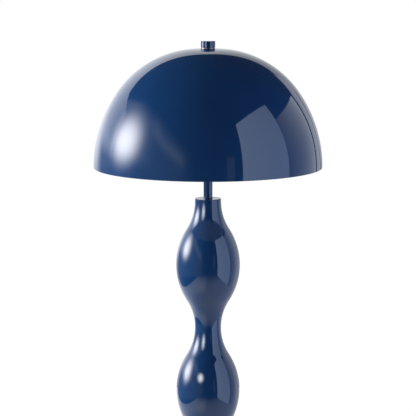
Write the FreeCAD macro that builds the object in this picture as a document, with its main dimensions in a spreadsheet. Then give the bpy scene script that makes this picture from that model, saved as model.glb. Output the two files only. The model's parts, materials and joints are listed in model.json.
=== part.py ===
import FreeCAD, Part
import math
import os
import re

import Sketcher

# Mushroom floor lamp: a domed metal shade on a column of round bulges, standing on a weighted
# round base. Millimetres, +Z up, origin on the floor under the middle of the base.
# The switch knob is on the -Y side, which is the front, and the cord leaves the base at +Y.

SIZES = [
    # Base
    ("pad_radius", 9, "rubber foot pad"),
    ("pad_thickness", 3, "height of the pads, and of the bottom plate above the floor"),
    ("pad_inset", 23, "edge of the bottom plate to the circle that the pads lie on"),
    ("pad_count", 5, "number of pads"),
    ("plate_gap", 9, "outside of the cover to the edge of the bottom plate"),
    ("plate_thickness", 1.5, ""),
    ("plate_screw_count", 3, ""),
    ("plate_screw_circle_radius", 72, "circle that the plate screws lie on"),
    ("plate_screw_radius", 2, "shank"),
    ("plate_screw_length", 9, "shank above the head"),
    ("plate_screw_head_radius", 4, ""),
    ("plate_screw_head_height", 2, ""),
    ("screw_end_gap", 1, "hole beyond the end of each plate screw"),
    ("weight_gap", 8, "outside of the cover to the edge of the cast weight"),
    ("weight_thickness", 15, ""),
    ("weight_boss_radius", 32, "raised middle that carries the column"),
    ("weight_boss_side", 2, "straight side of the boss"),
    ("weight_boss_inset", 4, "flat of the cover to the flat of the boss"),
    ("recess_radius", 16, "recess under the weight for the nut"),
    ("recess_depth", 11, ""),
    ("channel_width", 9, "cord channel under the weight"),
    ("channel_depth", 9, ""),
    ("cut_past", 1, "cuts run this far past the surface that they open"),
    ("base_radius", 140, "outside of the base cover"),
    ("base_height", 30, "floor to the flat top of the cover"),
    ("base_wall", 1.5, ""),
    ("base_edge_radius", 10, "rounded outer edge of the cover"),
    ("base_slope", 2.5, "fall of the cover's top towards its edge, in degrees"),
    ("base_flat_radius", 30, "flat middle of the cover, under the column"),
    ("base_floor_gap", 2, "under the cover's edge"),
    ("cord_radius", 3.25, "bore of the cord grommet"),
    ("cord_height", 9.4, "axis of the grommet above the floor"),
    ("grommet_barrel_radius", 4.6, ""),
    ("grommet_flange_radius", 6, ""),
    ("grommet_flange_thickness", 1.4, ""),
    ("grommet_flange_bevel", 0.6, ""),
    # Central threaded pipe and its nuts
    ("pipe_radius", 4.9, "threaded pipe"),
    ("pipe_bore_radius", 3.4, "wire way"),
    ("pipe_clearance", 0.15, "round the pipe, in each piece that it passes through"),
    ("pipe_foot_gap", 1, "pipe end to bottom plate"),
    ("pipe_end_gap", 1, "pipe end below the cone of the socket cap"),
    ("base_nut_flats", 17, "across flats"),
    ("base_nut_thickness", 6, ""),
    ("lock_washer_radius", 10.5, ""),
    ("lock_washer_thickness", 1.5, ""),
    ("coupler_radius", 8, "coupling sleeve between the two pipes"),
    ("coupler_length", 30, ""),
    # Column
    ("bulge_radius", 56.8, "widest part of each bulge"),
    ("waist_radius", 23.25, "narrowest part between bulges"),
    ("bulge_pitch", 229, "from one bulge to the next"),
    ("bulge_arc_radius", 121, "profile arc of a bulge"),
    ("column_wall", 1.5, "wall of the two shells"),
    ("lower_bulge_count", 3, "bulges of the lower shell"),
    ("upper_bulge_count", 2, "bulges of the upper shell"),
    ("neck_length", 5, "straight neck above the top bulge"),
    ("column_lid", 3, "thickness of the flat top"),
    ("column_edge_radius", 1, "rounded edge of the flat top"),
    ("bush_clearance", 0.1, "radial, bushes in the shells"),
    ("foot_bush_length", 10, ""),
    ("seam_bush_length", 36, ""),
    # Stem and harp saddle
    ("stem_radius", 8, ""),
    ("stem_wall", 1.2, ""),
    ("stem_length", 46, "column top to saddle"),
    ("saddle_thickness", 1.6, "strip of the saddle"),
    ("saddle_width", 12, ""),
    ("tang_width", 3.5, "upturned ends of the saddle"),
    ("tang_height", 11, ""),
    ("loose_gap", 0.3, "between pieces that part by hand"),
    ("saddle_nut_flats", 15, "across flats"),
    ("saddle_nut_thickness", 4, ""),
    # Harp
    ("harp_wire_radius", 1.6, ""),
    ("harp_foot_offset", 30, "axis of the lamp to each leg"),
    ("harp_foot_length", 27, "straight foot of each leg"),
    ("harp_half_width", 55, "axis of the lamp to the wire where the harp is widest"),
    ("harp_lower_bend", 30, "radius of both bends above the foot"),
    ("harp_upper_bend", 40, "radius of the upper corner"),
    ("harp_height", 213.5, "saddle to the top of the harp's plate"),
    ("harp_plate_length", 30, ""),
    ("harp_plate_width", 12, ""),
    ("harp_plate_thickness", 2.6, ""),
    ("harp_wire_lap", 2.5, "wire run into the plate"),
    ("ferrule_length", 12, ""),
    ("ferrule_wall", 0.8, ""),
    # Swivel on the harp
    ("swivel_disc_radius", 12, "disc that the shade rests on"),
    ("swivel_disc_thickness", 1.6, ""),
    ("swivel_rivet_radius", 5, "head under the harp's plate"),
    ("swivel_rivet_height", 1.4, ""),
    ("stud_radius", 3.15, "threaded stud"),
    ("stud_reach", 9, "stud above the shade"),
    ("stud_chamfer", 0.5, ""),
    ("running_clearance", 0.05, "radial, turning fits"),
    ("end_clearance", 0.1, "axial, turning fits"),
    # Shade
    ("crown_arc_radius", 338, "profile arc round the top"),
    ("crown_angle", 5.3, "from the axis to the end of the crown arc, in degrees"),
    ("dome_arc_radius", 178, "profile arc of the dome"),
    ("dome_angle", 55.6, "from the axis to the end of the dome arc, in degrees"),
    ("skirt_arc_radius", 232, "profile arc down to the rim"),
    ("shade_wall", 1.5, ""),
    ("shade_seat_radius", 14, "flat middle of the crown"),
    ("shade_hole_radius", 3.5, "hole for the stud"),
    ("hem_width", 3.6, "rim turned in, from the outside"),
    ("hem_height", 3, ""),
    ("boss_radius", 13, "stiffening washer under the crown"),
    ("boss_thickness", 1.5, ""),
    # Finial
    ("finial_radius", 12.8, "knob"),
    ("finial_height", 11.5, "knob without its washer"),
    ("finial_chamfer", 0.5, ""),
    ("finial_washer_radius", 12.1, ""),
    ("finial_washer_thickness", 1.5, ""),
    ("insert_radius", 5, "brass insert in the knob"),
    ("insert_depth", 9.5, "insert inside the knob"),
    ("insert_neck_radius", 4.1, "neck through the washer"),
    ("insert_flare_radius", 4.9, "flare that keeps the washer on"),
    ("insert_flare_height", 0.4, ""),
    ("insert_flare_recess", 0.2, "flare above the underside of the washer"),
    ("washer_play", 0.02, "axial, of the washer on the insert"),
    ("thread_clearance", 0.08, "radial, screwed fits"),
    # Lamp socket
    ("hub_radius", 7.5, "threaded hub of the socket cap"),
    ("hub_height", 8, ""),
    ("socket_cap_radius", 18.6, ""),
    ("socket_cap_wall", 0.8, ""),
    ("socket_cap_cone", 7, "height of the cap's cone"),
    ("socket_cap_rim", 7, "height of the cap's straight rim"),
    ("socket_cap_floor", 1, "thickness of the cap over its hub"),
    ("set_screw_radius", 1.5, ""),
    ("set_screw_length", 5, ""),
    ("socket_fit", 0.1, "radial, between nested pieces of the socket"),
    ("socket_shell_wall", 0.5, ""),
    ("socket_shell_length", 47, ""),
    ("shell_bead_height", 1, "turned-out edge of the shell, and the same again below it"),
    ("liner_wall", 0.7, ""),
    ("socket_core_radius", 14.6, ""),
    ("socket_core_height", 22, ""),
    ("core_flange_height", 3, "foot of the core, held inside the liner"),
    ("contact_boss_radius", 7, "raised middle of the core"),
    ("contact_boss_height", 2, ""),
    ("screw_shell_wall", 0.5, ""),
    ("screw_shell_length", 24, ""),
    ("contact_radius", 4.2, "centre contact"),
    ("contact_thickness", 0.8, ""),
    ("terminal_radius", 3, "heads of the terminal screws"),
    ("terminal_height", 1.3, ""),
    ("terminal_drop", 7, "terminal screws below the top of the core"),
    # Switch
    ("switch_height", 11, "shaft above the underside of the core"),
    ("switch_shaft_radius", 2, ""),
    ("switch_depth", 4, "end of the shaft from the axis of the lamp"),
    ("switch_knob_gap", 3, "socket shell to knob"),
    ("switch_knob_radius", 6, ""),
    ("switch_knob_length", 15, ""),
    ("switch_knob_neck", 4.2, "radius of the knob's inner end"),
    ("switch_knob_taper", 4, "length of the knob's tapered part"),
    ("switch_knob_chamfer", 1, ""),
    ("switch_knob_end", 2, "closed end of the knob"),
    ("switch_hole_radius", 3, "hole in the socket shell"),
    # Bulb
    ("bulb_cap_radius", 13.05, "screw cap"),
    ("bulb_cap_wall", 0.4, ""),
    ("bulb_cap_length", 20, ""),
    ("bulb_cap_lip", 1, "cap turned in over the insulator"),
    ("bulb_cap_shoulder", 3, "height of the cap's sloping shoulder"),
    ("bulb_tip_radius", 4, ""),
    ("bulb_tip_height", 1.2, ""),
    ("bulb_insulator_radius", 8.5, ""),
    ("bulb_insulator_height", 4, ""),
    ("bulb_insulator_step", 1, "insulator round the tip"),
    ("bulb_radius", 30, ""),
    ("bulb_length", 108, "tip to top"),
    ("bulb_wall", 1.4, ""),
    ("bulb_housing_rim", 28, "radius of the housing where the globe starts"),
    ("housing_plug", 6, "housing inside the screw cap"),
    ("housing_lip", 0.6, "housing over the edge of the screw cap"),
    ("housing_lip_height", 3, ""),
    ("led_board_thickness", 1.6, ""),
    ("led_board_drop", 1, "board below the edge of the globe"),
    ("led_count", 8, ""),
    ("led_circle_radius", 15, ""),
    ("led_side", 3, ""),
    ("led_thickness", 0.8, ""),
]

# Sizes that follow from those above. Each may use the sizes, and the names before it.
DERIVED = {
    # Heights above the floor, in the order of the stack
    "plate_top": "pad_thickness + plate_thickness",
    "weight_top": "plate_top + weight_thickness",
    "recess_top": "plate_top + recess_depth",
    "base_nut_top": "recess_top - lock_washer_thickness",
    "column_seam": "base_height + lower_bulge_count * bulge_pitch",
    "column_neck": "column_seam + upper_bulge_count * bulge_pitch",
    "column_top": "column_neck + neck_length",
    "saddle_low": "column_top + stem_length",
    "saddle_top": "saddle_low + saddle_thickness",
    "socket_low": "saddle_top + saddle_nut_thickness",
    "pipe_top": "socket_low + hub_height - pipe_end_gap",
    "harp_top": "saddle_top + harp_height",
    "swivel_top": "harp_top + swivel_disc_thickness",
    "shade_inner_top": "swivel_top + boss_thickness",
    "shade_top": "shade_inner_top + shade_wall",
    "knob_low": "shade_top + finial_washer_thickness",
    "stud_top": "shade_top + stud_reach",
    # Base: what lies under the cover keeps its distance from the outside
    "weight_radius": "base_radius - weight_gap",
    "plate_radius": "base_radius - plate_gap",
    "pad_circle_radius": "plate_radius - pad_inset",
    # Base cover: a cone that runs tangent into the rounded edge
    "edge_centre": "base_radius - base_edge_radius",
    "cone_run": "edge_centre + base_edge_radius * sin(base_slope) - base_flat_radius",
    "edge_height": "base_height - cone_run * tan(base_slope) - base_edge_radius * cos(base_slope)",
    "pipe_hole": "pipe_radius + pipe_clearance",
    # Column: the arc of a bulge and the arc of a waist touch, centre to centre in one line
    "bulge_rise": "bulge_radius - waist_radius",
    "half_pitch": "bulge_pitch / 2",
    "arc_sum": "(bulge_rise * bulge_rise + half_pitch * half_pitch) / (2 * bulge_rise)",
    "waist_arc_radius": "arc_sum - bulge_arc_radius",
    "turn_cos": "(arc_sum - bulge_rise) / arc_sum",
    "turn_sin": "half_pitch / arc_sum",
    "bulge_arc_centre": "bulge_radius - bulge_arc_radius",
    "waist_arc_centre": "waist_radius + waist_arc_radius",
    "bush_radius": "waist_radius - column_wall - bush_clearance",
    # Shade: three tangent arcs. Centres are given from the axis and from the top.
    "dome_centre_out": "(crown_arc_radius - dome_arc_radius) * sin(crown_angle)",
    "skirt_centre_out": "dome_centre_out - (skirt_arc_radius - dome_arc_radius) * sin(dome_angle)",
    "crown_centre": "shade_top - sqrt(crown_arc_radius ^ 2 - shade_seat_radius ^ 2)",
    "dome_centre": "crown_centre + (crown_arc_radius - dome_arc_radius) * cos(crown_angle)",
    "rim_height": "dome_centre - (skirt_arc_radius - dome_arc_radius) * cos(dome_angle)",
    "rim_radius": "skirt_centre_out + skirt_arc_radius",
    "hem_turn": "asin(hem_height / (skirt_arc_radius - shade_wall)) / 1 deg",
    # Harp, saddle and ferrules
    "wire_height": "harp_top - harp_plate_thickness / 2",
    "tang_inner": "harp_foot_offset + harp_wire_radius + loose_gap",
    "tang_outer": "tang_inner + saddle_thickness",
    "ferrule_span": "2 * harp_wire_radius + loose_gap + saddle_thickness",
    "ferrule_fill": "(ferrule_span ^ 2 + tang_width ^ 2 / 4) / (2 * ferrule_span)",
    "ferrule_centre": "harp_foot_offset - harp_wire_radius + ferrule_fill",
    "ferrule_bore": "ferrule_fill + loose_gap",
    "bend_cos": "1 - (harp_half_width - harp_foot_offset) / (2 * harp_lower_bend)",
    "bend_sin": "sqrt(1 - bend_cos * bend_cos)",
    "foot_top": "saddle_top + harp_foot_length",
    # Socket
    "cap_cone_low": "socket_low + hub_height",
    "cap_cone_top": "cap_cone_low + socket_cap_cone",
    "cap_rim_top": "cap_cone_top + socket_cap_rim",
    "shell_radius": "socket_cap_radius - socket_cap_wall - socket_fit",
    "liner_radius": "shell_radius - socket_shell_wall - socket_fit",
    "liner_bore": "liner_radius - liner_wall",
    "core_top": "cap_cone_top + socket_core_height",
    "contact_top": "core_top + contact_boss_height + contact_thickness",
    "shell_top": "cap_cone_top + socket_shell_length",
    "switch_axis": "cap_cone_top + switch_height",
    "screw_shell_radius": "bulb_cap_radius + thread_clearance",
    "knob_start": "shell_radius + switch_knob_gap",
    # Bulb
    "tip_top": "contact_top + bulb_tip_height",
    "insulator_top": "contact_top + bulb_insulator_height",
    "bulb_cap_top": "insulator_top + bulb_cap_length",
    "globe_centre": "contact_top + bulb_length - bulb_radius",
    "globe_low": "globe_centre - sqrt(bulb_radius ^ 2 - bulb_housing_rim ^ 2)",
}

WORD = re.compile(r"[A-Za-z_]\w*")
SIZE_NAMES = {name for name, _, _ in SIZES}

doc = FreeCAD.newDocument("MushroomFloorLamp")
sheet = doc.addObject("Spreadsheet::Sheet", "Sizes")
for row, (name, value, note) in enumerate(SIZES, start=1):
    sheet.set(f"A{row}", name)
    sheet.set(f"B{row}", str(value))
    sheet.set(f"C{row}", note)
    sheet.setAlias(f"B{row}", name)
doc.recompute()

subparts = []


# Expressions and sketches


def link(text):
    """The expression with every size name pointed at the sheet and every derived name spelt out."""

    def spell(match):
        word = match.group()
        if word in DERIVED:
            return f"({link(DERIVED[word])})"
        if word in SIZE_NAMES:
            return f"Sizes.{word}"
        return word

    text = re.sub(r"(sin|cos|tan)\(([^()]*)\)", r"\1((\2) * 1 deg)", text)
    return WORD.sub(spell, text)


def value_of(text):
    return float(sheet.evalExpression(link(text)))


def flip(text):
    return f"-({text})"


def origin_feature(body, role):
    return next(item for item in body.Origin.OriginFeatures if item.Role == role)


def new_body(label):
    body = doc.addObject("PartDesign::Body", label)
    body.Label = label
    subparts.append(body)
    return body


def new_sketch(body, role="XZ_Plane", offset=None):
    sketch = body.newObject("Sketcher::SketchObject", f"{body.Name}_sketch")
    sketch.AttachmentSupport = (origin_feature(body, role), "")
    sketch.MapMode = "FlatFace"
    if offset:
        sketch.setExpression("AttachmentOffset.Base.z", link(offset))
    return sketch


def pin_point(sketch, edge, end, across, up):
    """Fixes one end of an edge at a place given by two expressions."""
    for kind, text, axis in (("DistanceX", across, -2), ("DistanceY", up, -1)):
        place = value_of(text)
        if abs(place) < 1e-9:
            sketch.addConstraint(Sketcher.Constraint("PointOnObject", edge, end, axis))
        elif place > 0:
            made = sketch.addConstraint(Sketcher.Constraint(kind, -1, 1, edge, end, place))
            sketch.setExpression(f"Constraints[{made}]", link(text))
        else:
            made = sketch.addConstraint(Sketcher.Constraint(kind, edge, end, -1, 1, -place))
            sketch.setExpression(f"Constraints[{made}]", link(flip(text)))


def line_edge(sketch, start, finish):
    edge = sketch.addGeometry(Part.LineSegment(start, finish), False)
    return edge, 1, 2


def arc_edge(sketch, start, finish, centre, radius):
    """The shorter arc from start to finish. Returns its edge and which end lies at each point."""
    normal = FreeCAD.Vector(0, 0, 1)
    forward = (start - centre).cross(finish - centre).z > 0
    first, last = (start, finish) if forward else (finish, start)
    angles = [math.atan2(point.y - centre.y, point.x - centre.x) for point in (first, last)]
    circle = Part.Circle(centre, normal, (start - centre).Length)
    edge = sketch.addGeometry(Part.ArcOfCircle(circle, angles[0], angles[1]), False)
    made = sketch.addConstraint(Sketcher.Constraint("Radius", edge, (start - centre).Length))
    sketch.setExpression(f"Constraints[{made}]", link(radius))
    return (edge, 1, 2) if forward else (edge, 2, 1)


def draw(sketch, steps, closed=True):
    """Draws an outline. A step is (across, up) for a straight edge to that point, or
    (across, up, centre across, centre up, radius) for an arc to it. The first is the start."""
    points = [FreeCAD.Vector(value_of(step[0]), value_of(step[1]), 0) for step in steps]
    edges = []
    for index in range(1, len(steps)):
        step = steps[index]
        if len(step) == 2:
            edges.append(line_edge(sketch, points[index - 1], points[index]))
        else:
            centre = FreeCAD.Vector(value_of(step[2]), value_of(step[3]), 0)
            edges.append(arc_edge(sketch, points[index - 1], points[index], centre, step[4]))
    if closed:
        edges.append(line_edge(sketch, points[-1], points[0]))
    for index, (edge, start, _) in enumerate(edges):
        pin_point(sketch, edge, start, *steps[index][:2])
        if index or closed:
            before, _, end = edges[index - 1]
            sketch.addConstraint(Sketcher.Constraint("Coincident", before, end, edge, start))
    if not closed:
        edge, _, end = edges[-1]
        pin_point(sketch, edge, end, *steps[-1][:2])


def draw_circle(sketch, across, up, radius):
    centre = FreeCAD.Vector(value_of(across), value_of(up), 0)
    circle = Part.Circle(centre, FreeCAD.Vector(0, 0, 1), value_of(radius))
    edge = sketch.addGeometry(circle, False)
    made = sketch.addConstraint(Sketcher.Constraint("Radius", edge, value_of(radius)))
    sketch.setExpression(f"Constraints[{made}]", link(radius))
    pin_point(sketch, edge, 3, across, up)


def draw_box(sketch, left, right, low, high):
    draw(sketch, [(left, low), (right, low), (right, high), (left, high)])


def draw_hexagon(sketch, flats):
    corner = f"({flats}) / 2 / cos(30)"
    half_flats = f"({flats}) / 2"
    half_side = f"({flats}) / 2 * tan(30)"
    draw(
        sketch,
        [
            (corner, "0"),
            (half_side, half_flats),
            (flip(half_side), half_flats),
            (flip(corner), "0"),
            (flip(half_side), flip(half_flats)),
            (half_side, flip(half_flats)),
        ],
    )


# Features


def revolve(body, steps):
    sketch = new_sketch(body)
    draw(sketch, steps)
    feature = body.newObject("PartDesign::Revolution", f"{body.Name}_turned")
    feature.Profile = sketch
    feature.ReferenceAxis = (sketch, ["V_Axis"])
    feature.Angle = 360
    return feature


def pad(body, sketch, length, midplane=False):
    feature = body.newObject("PartDesign::Pad", f"{body.Name}_pad")
    feature.Profile = sketch
    feature.Midplane = midplane
    feature.setExpression("Length", link(length))
    return feature


def pocket(body, sketch, length, reverse=False):
    """Cuts the sketch's shape out of the body, and makes sure that it did."""
    doc.recompute()
    before = body.Shape.Volume
    feature = body.newObject("PartDesign::Pocket", f"{body.Name}_pocket")
    feature.Profile = sketch
    feature.Reversed = reverse
    feature.setExpression("Length", link(length))
    doc.recompute()
    if body.Shape.Volume >= before:
        raise RuntimeError(f"a pocket of {body.Label} cuts nothing")
    return feature


def polar_pattern(body, features, count):
    pattern = body.newObject("PartDesign::PolarPattern", f"{body.Name}_pattern")
    pattern.Originals = features
    pattern.Axis = (origin_feature(body, "Z_Axis"), [""])
    pattern.Angle = 360
    pattern.setExpression("Occurrences", link(count))
    body.Tip = pattern


def turned(label, steps):
    body = new_body(label)
    revolve(body, steps)
    return body


def ring(label, bore, radius, low, high):
    return turned(label, [(bore, low), (radius, low), (radius, high), (bore, high)])


def disc(label, radius, low, high):
    return ring(label, "0", radius, low, high)


def place(body, x="0", y="0", z="0"):
    for axis, text in (("x", x), ("y", y), ("z", z)):
        body.setExpression(f"Placement.Base.{axis}", link(text))


def lay_towards_front(body):
    """Turns a piece made along +Z so that it runs along -Y."""
    body.Placement = FreeCAD.Placement(
        FreeCAD.Vector(0, 0, 0), FreeCAD.Rotation(FreeCAD.Vector(1, 0, 0), 90)
    )


def lay_towards_back(body):
    """Turns a piece made along +Z so that it runs along +Y."""
    body.Placement = FreeCAD.Placement(
        FreeCAD.Vector(0, 0, 0), FreeCAD.Rotation(FreeCAD.Vector(1, 0, 0), -90)
    )


def polar_group(label, count, make):
    """Separate copies of one piece round the axis, in one sub-part. make(body) adds one of them,
    and returns its features."""
    body = new_body(label)
    body.AllowCompound = True
    polar_pattern(body, make(body), count)


# Base


def make_foot_pads():
    def one(body):
        sketch = new_sketch(body, "XY_Plane")
        draw_circle(sketch, "pad_circle_radius", "0", "pad_radius")
        return [pad(body, sketch, "pad_thickness")]

    polar_group("foot_pads", "pad_count", one)


def make_bottom_plate():
    body = disc("bottom_plate", "plate_radius", "pad_thickness", "plate_top")
    holes = new_sketch(body, "XY_Plane", "plate_top")
    draw_circle(holes, "plate_screw_circle_radius", "0", "plate_screw_radius + pipe_clearance")
    cut = pocket(body, holes, "plate_thickness")
    polar_pattern(body, [cut], "plate_screw_count")


def make_plate_screws():
    def one(body):
        head_outline = new_sketch(body, "XY_Plane", "pad_thickness - plate_screw_head_height")
        draw_circle(head_outline, "plate_screw_circle_radius", "0", "plate_screw_head_radius")
        head = pad(body, head_outline, "plate_screw_head_height")
        shank_outline = new_sketch(body, "XY_Plane", "pad_thickness")
        draw_circle(shank_outline, "plate_screw_circle_radius", "0", "plate_screw_radius")
        shank = pad(body, shank_outline, "plate_screw_length")
        return [head, shank]

    polar_group("plate_screws", "plate_screw_count", one)


def make_base_weight():
    cover_inside = "base_height - base_wall"
    body = turned(
        "base_weight",
        [
            ("pipe_hole", "recess_top"),
            ("recess_radius", "recess_top"),
            ("recess_radius", "plate_top"),
            ("weight_radius", "plate_top"),
            ("weight_radius", "weight_top"),
            ("weight_boss_radius", "weight_top"),
            ("weight_boss_radius", "weight_top + weight_boss_side"),
            ("base_flat_radius - weight_boss_inset", cover_inside),
            ("pipe_hole", cover_inside),
        ],
    )
    channel = new_sketch(body, "XY_Plane", "plate_top")
    draw_box(channel, "-channel_width / 2", "channel_width / 2", "0", "weight_radius + cut_past")
    pocket(body, channel, "channel_depth", reverse=True)
    holes = new_sketch(body, "XY_Plane", "plate_top")
    draw_circle(holes, "plate_screw_circle_radius", "0", "plate_screw_radius")
    cut = pocket(
        body, holes, "plate_screw_length - plate_thickness + screw_end_gap", reverse=True
    )
    polar_pattern(body, [cut], "plate_screw_count")


def make_base_cover():
    inner_edge = "base_edge_radius - base_wall"
    body = turned(
        "base_cover",
        [
            ("pipe_hole", "base_height"),
            ("base_flat_radius", "base_height"),
            (
                "edge_centre + base_edge_radius * sin(base_slope)",
                "edge_height + base_edge_radius * cos(base_slope)",
            ),
            ("base_radius", "edge_height", "edge_centre", "edge_height", "base_edge_radius"),
            ("base_radius", "base_floor_gap"),
            ("base_radius - base_wall", "base_floor_gap"),
            ("base_radius - base_wall", "edge_height"),
            (
                f"edge_centre + ({inner_edge}) * sin(base_slope)",
                f"edge_height + ({inner_edge}) * cos(base_slope)",
                "edge_centre",
                "edge_height",
                inner_edge,
            ),
            ("base_flat_radius", "base_height - base_wall"),
            ("pipe_hole", "base_height - base_wall"),
        ],
    )
    outlet = new_sketch(body)
    draw_circle(outlet, "0", "cord_height", "grommet_barrel_radius")
    pocket(body, outlet, "base_radius + cut_past")


def make_cord_grommet():
    # The flanges clip round the curved wall, so the groove allows for its curve.
    wall_dip = "base_radius - sqrt(base_radius ^ 2 - grommet_flange_radius ^ 2)"
    inner_face = f"base_radius - base_wall - ({wall_dip}) - running_clearance"
    barrel = "grommet_barrel_radius - running_clearance"
    body = turned(
        "cord_grommet",
        [
            ("cord_radius", f"{inner_face} - grommet_flange_thickness"),
            ("grommet_flange_radius", f"{inner_face} - grommet_flange_thickness"),
            ("grommet_flange_radius", inner_face),
            (barrel, inner_face),
            (barrel, "base_radius"),
            ("grommet_flange_radius", "base_radius"),
            (
                "grommet_flange_radius - grommet_flange_bevel",
                "base_radius + grommet_flange_thickness",
            ),
            ("cord_radius", "base_radius + grommet_flange_thickness"),
        ],
    )
    lay_towards_back(body)
    place(body, z="cord_height")


def make_hex_nut(label, flats, low, thickness):
    body = new_body(label)
    sketch = new_sketch(body, "XY_Plane", low)
    draw_hexagon(sketch, flats)
    draw_circle(sketch, "0", "0", "pipe_radius")
    pad(body, sketch, thickness)


def make_base():
    make_foot_pads()
    make_bottom_plate()
    make_plate_screws()
    make_base_weight()
    make_base_cover()
    make_cord_grommet()
    ring("lock_washer", "pipe_hole", "lock_washer_radius", "base_nut_top", "recess_top")
    make_hex_nut(
        "base_nut", "base_nut_flats", "base_nut_top - base_nut_thickness", "base_nut_thickness"
    )


# Column


def column_side(first, count, inset, downward=False):
    """One side of a column shell, from waist to waist past a number of bulges. first is the
    height where it starts, and inset its distance inside the outer surface."""
    sign = "-" if downward else "+"
    bulge_arc = f"(bulge_arc_radius - {inset})"
    waist_arc = f"(waist_arc_radius + {inset})"
    flank = f"bulge_arc_centre + {bulge_arc} * turn_cos"
    steps = [(f"waist_radius - {inset}", first)]
    for index in range(count):
        waist = f"{first} {sign} {index} * bulge_pitch"
        bulge = f"{first} {sign} {index + 0.5} * bulge_pitch"
        steps.append(
            (
                flank,
                f"{bulge} {'+' if downward else '-'} {bulge_arc} * turn_sin",
                "waist_arc_centre",
                waist,
                waist_arc,
            )
        )
        steps.append(
            (
                flank,
                f"{bulge} {sign} {bulge_arc} * turn_sin",
                "bulge_arc_centre",
                bulge,
                bulge_arc,
            )
        )
        after = f"{first} {sign} {index + 1} * bulge_pitch"
        steps.append(
            (f"waist_radius - {inset}", after, "waist_arc_centre", after, waist_arc)
        )
    return steps


def make_column_lower():
    count = int(value_of("lower_bulge_count"))
    outer = column_side("base_height", count, "0")
    inner = column_side("column_seam", count, "column_wall", downward=True)
    turned("column_lower", outer + inner)


def make_column_upper():
    count = int(value_of("upper_bulge_count"))
    outer = column_side("column_seam", count, "0")
    rounding = "column_edge_radius"
    top = [
        ("waist_radius", f"column_top - {rounding}"),
        (
            f"waist_radius - {rounding}",
            "column_top",
            f"waist_radius - {rounding}",
            f"column_top - {rounding}",
            rounding,
        ),
        ("pipe_hole", "column_top"),
        ("pipe_hole", "column_top - column_lid"),
        ("waist_radius - column_wall", "column_top - column_lid"),
    ]
    inner = column_side("column_neck", count, "column_wall", downward=True)
    turned("column_upper", outer + top + inner)


def make_column():
    half_bush = "seam_bush_length / 2"
    half_coupler = "coupler_length / 2"
    ring("lower_pipe", "pipe_bore_radius", "pipe_radius", "plate_top + pipe_foot_gap", "column_seam")
    ring(
        "foot_bush", "pipe_hole", "bush_radius", "base_height", "base_height + foot_bush_length"
    )
    make_column_lower()
    ring(
        "seam_bush",
        "coupler_radius",
        "bush_radius",
        f"column_seam - {half_bush}",
        f"column_seam + {half_bush}",
    )
    ring(
        "pipe_coupler",
        "pipe_radius",
        "coupler_radius",
        f"column_seam - {half_coupler}",
        f"column_seam + {half_coupler}",
    )
    make_column_upper()
    ring("upper_pipe", "pipe_bore_radius", "pipe_radius", "column_seam", "pipe_top")
    ring("stem_tube", "stem_radius - stem_wall", "stem_radius", "column_top", "saddle_low")


# Harp and what holds it


def make_harp_saddle():
    body = new_body("harp_saddle")
    strip = new_sketch(body, "XY_Plane", "saddle_low")
    draw_box(strip, "-tang_outer", "tang_outer", "-saddle_width / 2", "saddle_width / 2")
    draw_circle(strip, "0", "0", "pipe_hole")
    pad(body, strip, "saddle_thickness")
    tangs = new_sketch(body, "XY_Plane", "saddle_top")
    draw_box(tangs, "tang_inner", "tang_outer", "-tang_width / 2", "tang_width / 2")
    draw_box(tangs, "-tang_outer", "-tang_inner", "-tang_width / 2", "tang_width / 2")
    pad(body, tangs, "tang_height")


def make_harp():
    body = new_body("harp")
    plate = new_sketch(body, "XY_Plane", "harp_top - harp_plate_thickness")
    half_length = "harp_plate_length / 2"
    half_width = "harp_plate_width / 2"
    draw_box(plate, flip(half_length), half_length, flip(half_width), half_width)
    draw_circle(plate, "0", "0", "stud_radius + running_clearance")
    pad(body, plate, "harp_plate_thickness")

    mouth = new_sketch(body, "XY_Plane", "saddle_top")
    draw_circle(mouth, "harp_foot_offset", "0", "harp_wire_radius")
    bend_height = "harp_lower_bend * bend_sin"
    way = new_sketch(body)
    draw(
        way,
        [
            ("harp_foot_offset", "saddle_top"),
            ("harp_foot_offset", "foot_top"),
            (
                "(harp_foot_offset + harp_half_width) / 2",
                f"foot_top + {bend_height}",
                "harp_foot_offset + harp_lower_bend",
                "foot_top",
                "harp_lower_bend",
            ),
            (
                "harp_half_width",
                f"foot_top + 2 * {bend_height}",
                "harp_half_width - harp_lower_bend",
                f"foot_top + 2 * {bend_height}",
                "harp_lower_bend",
            ),
            ("harp_half_width", "wire_height - harp_upper_bend"),
            (
                "harp_half_width - harp_upper_bend",
                "wire_height",
                "harp_half_width - harp_upper_bend",
                "wire_height - harp_upper_bend",
                "harp_upper_bend",
            ),
            (f"{half_length} - harp_wire_lap", "wire_height"),
        ],
        closed=False,
    )
    wire = body.newObject("PartDesign::AdditivePipe", "harp_wire")
    wire.Profile = mouth
    wire.Spine = (way, [])
    doc.recompute()
    other_side = body.newObject("PartDesign::Mirrored", "harp_other_side")
    other_side.Originals = [wire]
    other_side.MirrorPlane = (origin_feature(body, "YZ_Plane"), [""])
    body.Tip = other_side


def make_ferrules():
    for label, side in (("ferrule_left", "-"), ("ferrule_right", "")):
        outside = "ferrule_bore + ferrule_wall"
        body = ring(label, "ferrule_bore", outside, "0", "ferrule_length")
        place(body, x=f"{side}ferrule_centre", z="saddle_top")


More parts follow.
